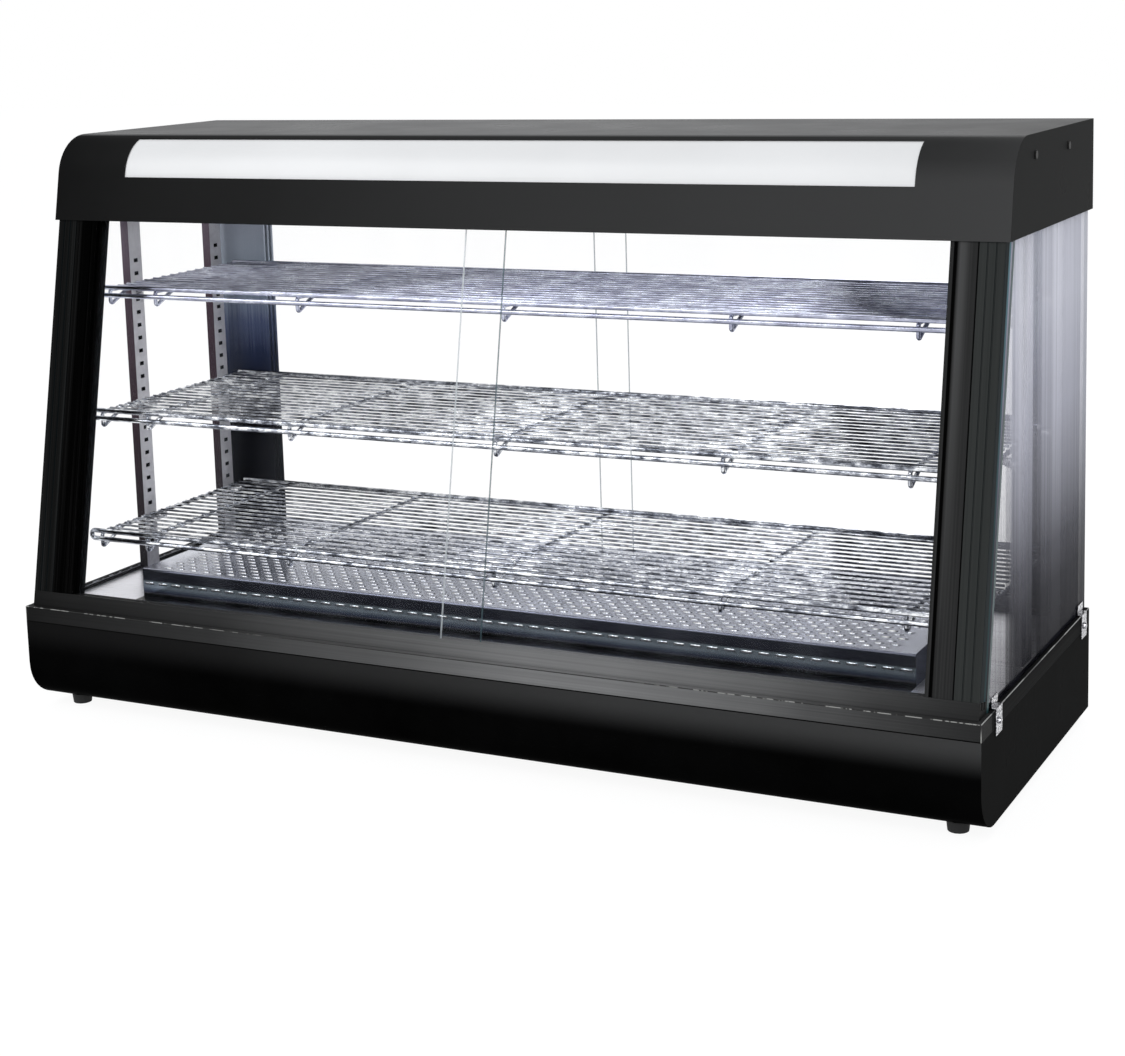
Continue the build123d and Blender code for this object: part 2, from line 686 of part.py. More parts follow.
# Slotted shelf standards: flat tubes that stand on the floor against the side glass
standard_depth = 12.0
standard_width = 25.0
standard_wall = 1.2
standard_inset = 1.0
front_standard_y = 0.0
slot_pitch = 16.8
slot_width = 8.0
slot_height = 5.0
first_slot = 36.9
slotless_top = 90.0
rear_standard_y = rear_rail_front - fit_gap - standard_width / 2
standard_outer = side_rail_inner - standard_inset
standard_face = standard_outer - standard_depth
hollow_depth = standard_depth - 2 * standard_wall
standard_length = ceiling_z - floor_top
slot_count = 1 + floor((standard_length - first_slot - slotless_top) / slot_pitch)
slots_middle = floor_top + first_slot + (slot_count - 1) * slot_pitch / 2
for row_name, row_y in (("front", front_standard_y), ("rear", rear_standard_y)):
    for side_name, mirrored in (("left", -1), ("right", 1)):
        with BuildPart() as standard:
            with BuildSketch(Plane.XY.offset(floor_top)):
                with Locations((mirrored * (standard_outer - standard_depth / 2), row_y)):
                    Rectangle(standard_depth, standard_width)
                    Rectangle(hollow_depth, standard_width - 2 * standard_wall, mode=Mode.SUBTRACT)
            extrude(amount=standard_length)
            with BuildSketch(Plane.YZ.offset(mirrored * standard_face)):
                with Locations((row_y, slots_middle)):
                    with GridLocations(slot_width, slot_pitch, 1, slot_count):
                        Rectangle(slot_width, slot_height)
            extrude(amount=mirrored * standard_wall, mode=Mode.SUBTRACT)
        standard.part.label = f"standard_{row_name}_{side_name}"
        export_step(standard.part, f"parts/standard_{row_name}_{side_name}.step")

# Wire shelves: a welded frame of rod with long wires lying on its braces. Each brace drops behind the
# two front rods and returns to its own underside, in a V.
rod_radius = 3.0
rod_sides = 8
edge_spread = 13.0
edge_chords = 4
brace_radius = 2.5
wire_radius = 1.5
wire_sides = 6
wire_pitch = 18.0
weld = 0.5
shelf_end_gap = 1.0
end_brace_inset = 16.0
outer_brace_inset = 70.0
brace_drop = 12.0
drop_reach = 40.0
shelf_rear_gap = 9.0
bottom_slot = 2
slots_above_top = 2
shelf_setbacks = {"bottom": 77.0, "middle": 61.0, "top": 60.0}
seat_rise = 3.0
clip_thickness = 6.0
clip_arm = 24.0
clip_arm_depth = 14.0
arm_lip_rise = 4.0
arm_lip_width = 3.0
tongue_height = 4.2
tongue_gap = 0.2
tongue_hook = 2.0
hook_drop = 5.0
shelf_rear_y = rear_frame_front - shelf_rear_gap
shelf_end_x = standard_face - shelf_end_gap
edge_end_x = shelf_end_x - rod_radius
bend_x = edge_end_x - edge_spread / 2
end_brace_x = standard_face - end_brace_inset
outer_brace_x = end_brace_x - outer_brace_inset
middle_brace_x = end_brace_x / 2
top_slot = slot_count - 1 - slots_above_top
shelf_slots = {"bottom": bottom_slot, "middle": (bottom_slot + top_slot) // 2, "top": top_slot}
lowest_seat = floor_top + first_slot + seat_rise
shelf_seats = {name: lowest_seat + slot * slot_pitch for name, slot in shelf_slots.items()}
brace_xs = (-end_brace_x, -outer_brace_x, -middle_brace_x, 0.0, middle_brace_x, outer_brace_x, end_brace_x)
wire_half = end_brace_x - rod_radius
for shelf_name, seat_z in shelf_seats.items():
    shelf_front_y = lean_y(seat_z) + shelf_setbacks[shelf_name]
    brace_z = seat_z + brace_radius
    wire_z = brace_z + brace_radius + wire_radius
    edge_z = wire_z - edge_spread / 2
    drop_z = wire_z - edge_spread - brace_drop
    drop_rise = brace_z - weld - drop_z
    brace_front_y = shelf_front_y + rod_radius + brace_radius - weld
    turns = [pi / 2 - pi * chord / edge_chords for chord in range(edge_chords + 1)]
    bend = [(bend_x + edge_spread / 2 * cos(turn), edge_z + edge_spread / 2 * sin(turn)) for turn in turns]
    far_bend = [(-x, z) for x, z in reversed(bend)]
    with BuildPart() as shelf:
        with BuildLine(Plane.XZ.offset(-shelf_front_y)) as edge_loop:
            Polyline((0, wire_z), *bend, *far_bend, close=True)
        with BuildSketch(Plane.YZ.offset(0)):
            with Locations((shelf_front_y, wire_z)):
                RegularPolygon(rod_radius, rod_sides)
        sweep(path=edge_loop.wire(), transition=Transition.RIGHT)
        with BuildSketch(Plane.YZ.offset(-end_brace_x)):
            with Locations((shelf_rear_y, wire_z)):
                RegularPolygon(rod_radius, rod_sides)
        extrude(amount=2 * end_brace_x)
        for brace_x in brace_xs:
            with BuildLine(Plane.YZ.offset(brace_x)) as brace_line:
                Polyline((shelf_rear_y, brace_z), (brace_front_y, brace_z), (brace_front_y, drop_z))
            with BuildSketch(Plane.XZ.offset(-shelf_rear_y)):
                with Locations((brace_x, brace_z)):
                    RegularPolygon(brace_radius, wire_sides, major_radius=False)
            sweep(path=brace_line.wire(), transition=Transition.RIGHT)
            drop_foot = (brace_x, brace_front_y, drop_z)
            with BuildSketch(Plane(origin=drop_foot, x_dir=(1, 0, 0), z_dir=(0, drop_reach, drop_rise))):
                RegularPolygon(brace_radius, wire_sides, major_radius=False)
            extrude(amount=hypot(drop_reach, drop_rise))
    wire_span = shelf_rear_y - shelf_front_y
    wire_count = floor((wire_span - 2 * (rod_radius + wire_radius)) / wire_pitch)
    with BuildPart() as wires:
        with BuildSketch(Plane.YZ.offset(-wire_half)):
            with Locations(((shelf_front_y + shelf_rear_y) / 2, wire_z)):
                with GridLocations(wire_span / (wire_count + 1), 1, wire_count, 1):
                    RegularPolygon(wire_radius, wire_sides, major_radius=False)
        extrude(amount=2 * wire_half)
    whole_shelf = Compound(children=[*shelf.part.solids(), *wires.part.solids()])
    whole_shelf.label = "shelf_" + shelf_name
    export_step(whole_shelf, f"parts/shelf_{shelf_name}.step")

    slot_z = seat_z - seat_rise
    arm_tip_x = standard_face - clip_arm
    hook_x = standard_face + standard_wall + tongue_gap
    with BuildPart() as shelf_clips:
        for mirrored in (-1, 1):
            for row_y in (front_standard_y, rear_standard_y):
                outline = (
                    (arm_tip_x, seat_z + arm_lip_rise),
                    (arm_tip_x + arm_lip_width, seat_z + arm_lip_rise),
                    (arm_tip_x + arm_lip_width, seat_z),
                    (standard_face, seat_z),
                    (standard_face, slot_z + tongue_height / 2),
                    (hook_x + tongue_hook, slot_z + tongue_height / 2),
                    (hook_x + tongue_hook, slot_z - tongue_height / 2 - hook_drop),
                    (hook_x, slot_z - tongue_height / 2 - hook_drop),
                    (hook_x, slot_z - tongue_height / 2),
                    (standard_face, slot_z - tongue_height / 2),
                    (standard_face, seat_z - clip_arm_depth),
                    (arm_tip_x, seat_z - arm_lip_width),
                )
                with BuildSketch(Plane.XZ.offset(-(row_y - clip_thickness / 2))):
                    with BuildLine():
                        Polyline(*[(mirrored * x, z) for x, z in outline], close=True)
                    make_face()
                extrude(amount=-clip_thickness)
    shelf_clips.part.label = "shelf_clips_" + shelf_name
    export_step(shelf_clips.part, f"parts/shelf_clips_{shelf_name}.step")

# Heater deck: a raised stainless cover with slots in its top and a row of slots in its front
deck_inset = 100.0
deck_front_gap = 67.0
deck_back_gap = 15.0
deck_rise = 35.5
deck_sheet = 1.2
deck_margin = 10.0
deck_slot_length = 76.0
deck_slot_width = 6.0
deck_slot_pitch_x = 98.0
deck_slot_pitch_y = 54.0
deck_front_pitch = 61.0
deck_front_slot = 34.0
deck_front_slot_height = 2.5
deck_half = half_width - deck_inset
deck_top = floor_top + deck_rise
deck_front_y = front_rail_back + deck_front_gap
deck_back_y = rear_rail_front - deck_back_gap
deck_middle_y = (deck_front_y + deck_back_y) / 2
deck_slot_columns = floor(2 * (deck_half - deck_margin) / deck_slot_pitch_x)
deck_slot_rows = floor((deck_back_y - deck_front_y - 2 * deck_margin) / deck_slot_pitch_y)
deck_front_slots = floor(2 * (deck_half - deck_margin) / deck_front_pitch)
with BuildPart() as heater_deck:
    with BuildSketch(Plane.XY.offset(floor_top)):
        with Locations((0, deck_middle_y)):
            Rectangle(2 * deck_half, deck_back_y - deck_front_y)
    extrude(amount=deck_top - floor_top)
    deck_edge = heater_deck.edges().filter_by(Axis.X).group_by(Axis.Z)[-1].sort_by(Axis.Y)[0]
    fillet(deck_edge, radius=2 * deck_sheet)
    with BuildSketch(Plane.XY.offset(floor_top)):
        with Locations((0, deck_middle_y)):
            Rectangle(2 * (deck_half - deck_sheet), deck_back_y - deck_front_y - 2 * deck_sheet)
    extrude(amount=deck_top - floor_top - deck_sheet, mode=Mode.SUBTRACT)
    with BuildSketch(Plane.XY.offset(deck_top)):
        with Locations((0, deck_middle_y)):
            with GridLocations(deck_slot_pitch_x, deck_slot_pitch_y, deck_slot_columns, deck_slot_rows):
                Rectangle(deck_slot_length, deck_slot_width)
    extrude(amount=-deck_sheet, mode=Mode.SUBTRACT)
    with BuildSketch(Plane.XZ.offset(-deck_front_y)):
        with Locations((0, (deck_top + floor_top) / 2)):
            with GridLocations(deck_front_pitch, deck_front_slot, deck_front_slots, 1):
                Rectangle(deck_front_slot, deck_front_slot_height)
    extrude(amount=-deck_sheet, mode=Mode.SUBTRACT)
heater_deck.part.label = "heater_deck"
export_step(heater_deck.part, "parts/heater_deck.step")

# Tubular heating elements under the deck, each a hairpin with its ends in a ceramic terminal
element_radius = 4.0
element_sides = 8
element_bend = 35.0
element_rise = 18.5
element_gap = 0.2
element_spacing = 142.0
terminal_length = 24.0
terminal_end_gap = 35.0
terminal_head_gap = 4.0
terminal_edge = 2.0
element_z = floor_top + element_rise
element_ys = {"front": deck_middle_y - element_spacing / 2, "rear": deck_middle_y + element_spacing / 2}
element_half = deck_half - deck_sheet - terminal_end_gap - terminal_length
for row_name, row_y in element_ys.items():
    with BuildPart() as heater:
        with BuildLine(Plane.XY.offset(element_z)) as hairpin:
            Line((element_half, row_y - element_bend), (element_bend - element_half, row_y - element_bend))
            ThreePointArc(
                (element_bend - element_half, row_y - element_bend),
                (-element_half, row_y),
                (element_bend - element_half, row_y + element_bend),
            )
            Line((element_bend - element_half, row_y + element_bend), (element_half, row_y + element_bend))
        with BuildSketch(Plane.YZ.offset(element_half)):
            with Locations((row_y - element_bend, element_z)):
                RegularPolygon(element_radius, element_sides)
        sweep(path=hairpin.wire())
    heater.part.label = "heater_" + row_name
    export_step(heater.part, f"parts/heater_{row_name}.step")

with BuildPart() as heater_terminals:
    with BuildSketch(Plane.XY.offset(floor_top)):
        for row_y in element_ys.values():
            with Locations((element_half + terminal_length / 2, row_y)):
                Rectangle(terminal_length, 2 * (element_bend + element_radius + terminal_edge))
    extrude(amount=deck_rise - deck_sheet - terminal_head_gap)
heater_terminals.part.label = "heater_terminals"
export_step(heater_terminals.part, "parts/heater_terminals.step")

bracket_width = 1.5
bracket_pitch = 400.0
bracket_margin = 5.0
bracket_foot = 14.0
bracket_reach = element_bend + element_radius + bracket_margin
bracket_depth = element_spacing + 2 * bracket_reach
bracket_height = element_rise + element_radius + bracket_margin
with BuildPart() as heater_brackets:
    for bracket_x in (-bracket_pitch / 2, bracket_pitch / 2):
        with BuildSketch(Plane.YZ.offset(bracket_x)):
            with Locations((deck_middle_y, floor_top + bracket_height / 2)):
                Rectangle(bracket_depth, bracket_height)
            for row_y in element_ys.values():
                with Locations((row_y - element_bend, element_z), (row_y + element_bend, element_z)):
                    RegularPolygon(element_radius + element_gap, element_sides, mode=Mode.SUBTRACT)
        extrude(amount=bracket_width)
        with BuildSketch(Plane.XY.offset(floor_top)):
            with Locations((bracket_x + bracket_foot / 2, deck_middle_y)):
                Rectangle(bracket_foot, bracket_depth)
        extrude(amount=bracket_width)
heater_brackets.part.label = "heater_brackets"
export_step(heater_brackets.part, "parts/heater_brackets.step")

# Hood: a folded cover with a rounded front edge over the leaning skirt, open below and behind
hood_nose_radius = 55.0
hood_overhang = 2.0
window_end = 102.0
window_rise = 53.0
window_reach = 24.3
hood_screw_radius = 2.0
hood_screw_head_radius = 4.5
hood_screw_head = 2.2
hood_screw_drop = 22.0
hood_screw_front = 71.3
hood_screw_back = 118.0
screw_gap = 0.2
window_half = half_width - window_end
window_bottom = hood_bottom + window_rise
hood_corner_y = lean_y(case_height, -hood_overhang)
window_back_y = hood_corner_y + window_reach
hood_screw_z = case_height - hood_screw_drop
hood_screw_ys = (hood_corner_y + hood_screw_front, rear_y - hood_screw_back)


def hood_outline(inset, bottom, back):
    """Side outline of the hood, inset from its outer skin: sketch x is Y and sketch y is Z."""
    roof = case_height - inset
    with BuildSketch() as outline:
        with BuildLine():
            Polyline(
                (lean_y(bottom, inset - hood_overhang), bottom),
                (lean_y(roof, inset - hood_overhang), roof),
                (back, roof),
                (back, bottom),
                close=True,
            )
        make_face()
        fillet(outline.vertices().group_by(Axis.Y)[-1].sort_by(Axis.X)[0], hood_nose_radius - inset)
    return outline.sketch


with BuildPart() as hood_shell:
    with BuildSketch(Plane.YZ.offset(-half_width)):
        add(hood_outline(0.0, hood_bottom, rear_y))
    extrude(amount=case_width)
    with BuildSketch(Plane.YZ.offset(sheet - half_width)):
        add(hood_outline(sheet, hood_bottom - sheet, rear_y + sheet))
    extrude(amount=case_width - 2 * sheet, mode=Mode.SUBTRACT)
    with BuildSketch(Plane.YZ.offset(-window_half)):
        with BuildLine():
            Polyline(
                (front_y, window_bottom),
                (window_back_y, window_bottom),
                (window_back_y, case_height + sheet),
                (front_y, case_height + sheet),
                close=True,
            )
        make_face()
    extrude(amount=2 * window_half, mode=Mode.SUBTRACT)
    with BuildSketch(Plane.YZ.offset(-half_width)):
        with Locations(*[(screw_y, hood_screw_z) for screw_y in hood_screw_ys]):
            RegularPolygon(hood_screw_radius + screw_gap, screw_sides)
    extrude(amount=case_width, mode=Mode.SUBTRACT)
hood_shell.part.label = "hood_shell"
export_step(hood_shell.part, "parts/hood_shell.step")

# Light panel: a curved white sheet lying against the inside of the hood behind its window
light_panel_thickness = 2.5
light_panel_margin = 7.0
light_panel_gap = 0.1
panel_skin = sheet + light_panel_gap
panel_core = panel_skin + light_panel_thickness
panel_low = window_bottom - light_panel_margin
panel_rear_y = window_back_y + light_panel_margin
with BuildPart() as light_panel:
    with BuildSketch(Plane.YZ.offset(-window_half - light_panel_margin)):
        add(hood_outline(panel_skin, hood_bottom, rear_y))
        add(hood_outline(panel_core, hood_bottom - sheet, rear_y + sheet), mode=Mode.SUBTRACT)
        with Locations(((front_y + panel_rear_y) / 2, (panel_low + case_height) / 2)):
            Rectangle(panel_rear_y - front_y, case_height - panel_low, mode=Mode.INTERSECT)
    extrude(amount=2 * (window_half + light_panel_margin))
light_panel.part.label = "light_panel"
export_step(light_panel.part, "parts/light_panel.step")

# Hood rear panel, with a row of vents for the lamp's warmth
hood_vent_count = 18
hood_vent_pitch = 18.0
hood_vent_length = 30.0
hood_vent_drop = 35.0
hood_vent_z = case_height - hood_vent_drop
with BuildPart() as hood_rear_panel:
    with BuildSketch(Plane.XZ.offset(-rear_y)):
        with Locations((0, (hood_bottom + case_height - sheet) / 2)):
            Rectangle(case_width - 2 * sheet, case_height - sheet - hood_bottom)
        with Locations((0, hood_vent_z)):
            with GridLocations(hood_vent_pitch, hood_vent_length, hood_vent_count, 1):
                Rectangle(vent_width, hood_vent_length, mode=Mode.SUBTRACT)
    extrude(amount=sheet)
hood_rear_panel.part.label = "hood_rear_panel"
export_step(hood_rear_panel.part, "parts/hood_rear_panel.step")

# Ceiling: a plate on the two heads, with flanges that trap the side glass and tabs for the hood
lamp_half = 447.5
lamp_setback = 72.3
holder_clear = 20.5
ceiling_window_width = 60.0
flange_drop = 13.0
flange_clear = 8.0
tab_margin = 18.0
tab_head_gap = 8.5
lamp_y = hood_corner_y + lamp_setback
ceiling_window_half = lamp_half - holder_clear
tab_front_y = hood_screw_ys[0] - tab_margin
tab_back_y = hood_screw_ys[1] + tab_margin
tab_top = case_height - sheet - tab_head_gap
ceiling_half = half_width - sheet - fit_gap
ceiling_front_y = lean_y(ceiling_z, fit_gap)
flange_x = side_glass_inner - fit_gap - sheet / 2
flange_front_y = lean_y(ceiling_z, side_glass_setback) + flange_clear
flange_back_y = rear_frame_front - flange_clear
with BuildPart() as ceiling_panel:
    with BuildSketch(Plane.XY.offset(ceiling_z)):
        with Locations((0, (ceiling_front_y + rear_frame_back) / 2)):
            Rectangle(2 * ceiling_half, rear_frame_back - ceiling_front_y)
        with Locations((0, lamp_y)):
            Rectangle(2 * ceiling_window_half, ceiling_window_width, mode=Mode.SUBTRACT)
    extrude(amount=sheet)
    with BuildSketch(Plane.XY.offset(ceiling_z)):
        for mirrored in (-1, 1):
            with Locations((mirrored * flange_x, (flange_front_y + flange_back_y) / 2)):
                Rectangle(sheet, flange_back_y - flange_front_y)
    extrude(amount=-flange_drop)
    with BuildSketch(Plane.XY.offset(ceiling_z)):
        for mirrored in (-1, 1):
            with Locations((mirrored * (ceiling_half - sheet / 2), (tab_front_y + tab_back_y) / 2)):
                Rectangle(sheet, tab_back_y - tab_front_y)
    extrude(amount=tab_top - ceiling_z)
    with BuildSketch(Plane.YZ.offset(-ceiling_half)):
        with Locations(*[(screw_y, hood_screw_z) for screw_y in hood_screw_ys]):
            RegularPolygon(hood_screw_radius + screw_gap, screw_sides)
    extrude(amount=2 * ceiling_half, mode=Mode.SUBTRACT)
ceiling_panel.part.label = "ceiling_panel"
export_step(ceiling_panel.part, "parts/ceiling_panel.step")

# Screws through the hood's ends into the ceiling's tabs
hood_screw_length = 8.0
with BuildPart() as hood_screws:
    for mirrored in (-1, 1):
        with BuildSketch(Plane.YZ.offset(mirrored * half_width)):
            with Locations(*[(screw_y, hood_screw_z) for screw_y in hood_screw_ys]):
                RegularPolygon(hood_screw_head_radius, screw_sides)
        extrude(amount=mirrored * hood_screw_head)
        with BuildSketch(Plane.YZ.offset(mirrored * half_width)):
            with Locations(*[(screw_y, hood_screw_z) for screw_y in hood_screw_ys]):
                RegularPolygon(hood_screw_radius, screw_sides)
        extrude(amount=-mirrored * hood_screw_length)
hood_screws.part.label = "hood_screws"
export_step(hood_screws.part, "parts/hood_screws.step")

# Lamp cover over the ceiling's window
cover_margin = 8.0
cover_thickness = 2.5
with BuildPart() as lamp_cover:
    with BuildSketch(Plane.XY.offset(ceiling_z + sheet)):
        with Locations((0, lamp_y)):
            Rectangle(2 * (ceiling_window_half + cover_margin), ceiling_window_width + 2 * cover_margin)
    extrude(amount=cover_thickness)
lamp_cover.part.label = "lamp_cover"
export_step(lamp_cover.part, "parts/lamp_cover.step")

# Lamp tube with its end caps and pins, between two holders that stand on the ceiling
lamp_radius = 13.0
lamp_sides = 16
lamp_rise = 31.0
lamp_pin_sides = 6
lamp_z = ceiling_z + lamp_rise
lamp_pin_radius = 1.2
lamp_pin_length = 7.0
lamp_pin_pitch = 12.7
holder_length = 20.0
holder_width = 30.0
holder_rise = 18.0
with BuildPart() as lamp_tube:
    with BuildSketch(Plane.YZ.offset(-lamp_half)):
        with Locations((lamp_y, lamp_z)):
            RegularPolygon(lamp_radius, lamp_sides)
    extrude(amount=2 * lamp_half)
    with BuildSketch(Plane.YZ.offset(-lamp_half - lamp_pin_length)):
        with Locations((lamp_y, lamp_z)):
            with GridLocations(1, lamp_pin_pitch, 1, 2):
                RegularPolygon(lamp_pin_radius, lamp_pin_sides)
    extrude(amount=2 * (lamp_half + lamp_pin_length))
lamp_tube.part.label = "lamp_tube"
export_step(lamp_tube.part, "parts/lamp_tube.step")

with BuildPart() as lampholders:
    for mirrored in (-1, 1):
        with BuildSketch(Plane.YZ.offset(mirrored * (lamp_half + fit_gap))):
            with Locations((lamp_y, (ceiling_z + sheet + lamp_z + holder_rise) / 2)):
                Rectangle(holder_width, lamp_z + holder_rise - ceiling_z - sheet)
            with Locations((lamp_y, lamp_z)):
                with GridLocations(1, lamp_pin_pitch, 1, 2):
                    RegularPolygon(lamp_pin_radius + fit_gap, lamp_pin_sides, mode=Mode.SUBTRACT)
        extrude(amount=mirrored * holder_length)
lampholders.part.label = "lampholders"
export_step(lampholders.part, "parts/lampholders.step")

# Ballast for the lamp, on the ceiling behind it
ballast_length = 150.0
ballast_width = 40.0
ballast_height = 30.0
ballast_ear = 10.0
ballast_back_gap = 102.0
ballast_y = rear_frame_back - ballast_back_gap
with BuildPart() as lamp_ballast:
    with BuildSketch(Plane.XY.offset(ceiling_z + sheet)):
        with Locations((0, ballast_y)):
            Rectangle(ballast_length, ballast_width)
    extrude(amount=ballast_height)
    chamfer(lamp_ballast.edges().group_by(Axis.Z)[-1], length=sheet)
    with BuildSketch(Plane.XY.offset(ceiling_z + sheet)):
        with Locations((0, ballast_y)):
            Rectangle(ballast_length + 2 * ballast_ear, ballast_width)
    extrude(amount=sheet)
lamp_ballast.part.label = "lamp_ballast"
export_step(lamp_ballast.part, "parts/lamp_ballast.step")
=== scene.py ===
"""Looks of the heated display case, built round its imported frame. All sizes are in metres."""

import logging
import math
from dataclasses import dataclass, field, replace
from enum import Enum
from typing import Iterable, Sequence

import bmesh
import bpy
from mathutils import Matrix, Vector


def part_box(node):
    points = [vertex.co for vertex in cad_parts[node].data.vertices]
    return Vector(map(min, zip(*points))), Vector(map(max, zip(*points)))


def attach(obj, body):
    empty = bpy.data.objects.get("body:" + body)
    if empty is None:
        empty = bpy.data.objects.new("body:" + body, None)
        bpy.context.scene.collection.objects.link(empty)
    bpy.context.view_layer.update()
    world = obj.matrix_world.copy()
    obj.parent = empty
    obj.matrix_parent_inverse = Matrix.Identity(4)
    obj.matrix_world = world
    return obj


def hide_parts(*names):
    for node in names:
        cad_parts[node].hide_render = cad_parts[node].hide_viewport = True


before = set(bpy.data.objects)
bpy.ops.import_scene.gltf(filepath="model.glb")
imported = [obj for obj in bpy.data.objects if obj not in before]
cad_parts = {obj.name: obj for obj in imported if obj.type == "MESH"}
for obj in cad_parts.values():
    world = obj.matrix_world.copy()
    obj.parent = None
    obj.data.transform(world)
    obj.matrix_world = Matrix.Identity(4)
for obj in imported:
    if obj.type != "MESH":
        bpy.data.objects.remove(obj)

log = logging.getLogger("display_case")

Colour = tuple[float, float, float]
Stops = Sequence[tuple[float, Colour]]
Shades = Sequence[tuple[float, float]]
Socket = bpy.types.NodeSocket

MM = 0.001
LEAN = math.radians(11.52)     # how far the front leans back
HALF_WIDTH = 0.6
NOISE_RANGE = (0.3, 0.7)       # where nearly all of a soft noise lies
FINE_DEPTH = 0.2 * MM          # depth of a grain or of orange peel
ROD_SIDES = 16                 # facets round the shelves' bars, by thickness
BRACE_SIDES = 12
WIRE_SIDES = 10
LINE_SIDES = 8                 # facets round lips, gaskets and worn edges


def grey(shade: float) -> Colour:
    """An even grey."""
    return (shade,) * 3


class Lay(Enum):
    """The way that a grain, a streak or a row runs."""

    ACROSS = ("X", 0.0)
    DEPTH = ("Y", 0.0)
    UPRIGHT = ("Z", 0.0)
    SLOPE = ("Z", LEAN)

    def squeeze(self, along: float, across: float) -> tuple[float, float, float]:
        """Blob size of a texture that is drawn out along this direction."""
        return tuple(1.0 / (along if axis == self.value[0] else across) for axis in "XYZ")

    def tilt(self) -> float:
        """How far the direction leans back from its axis."""
        return self.value[1]


class Side(Enum):
    """An end of the case, with the sign of its X."""

    LEFT = -1
    RIGHT = 1

    @property
    def word(self) -> str:
        """The side's name, as it ends the names of nodes."""
        return self.name.lower()


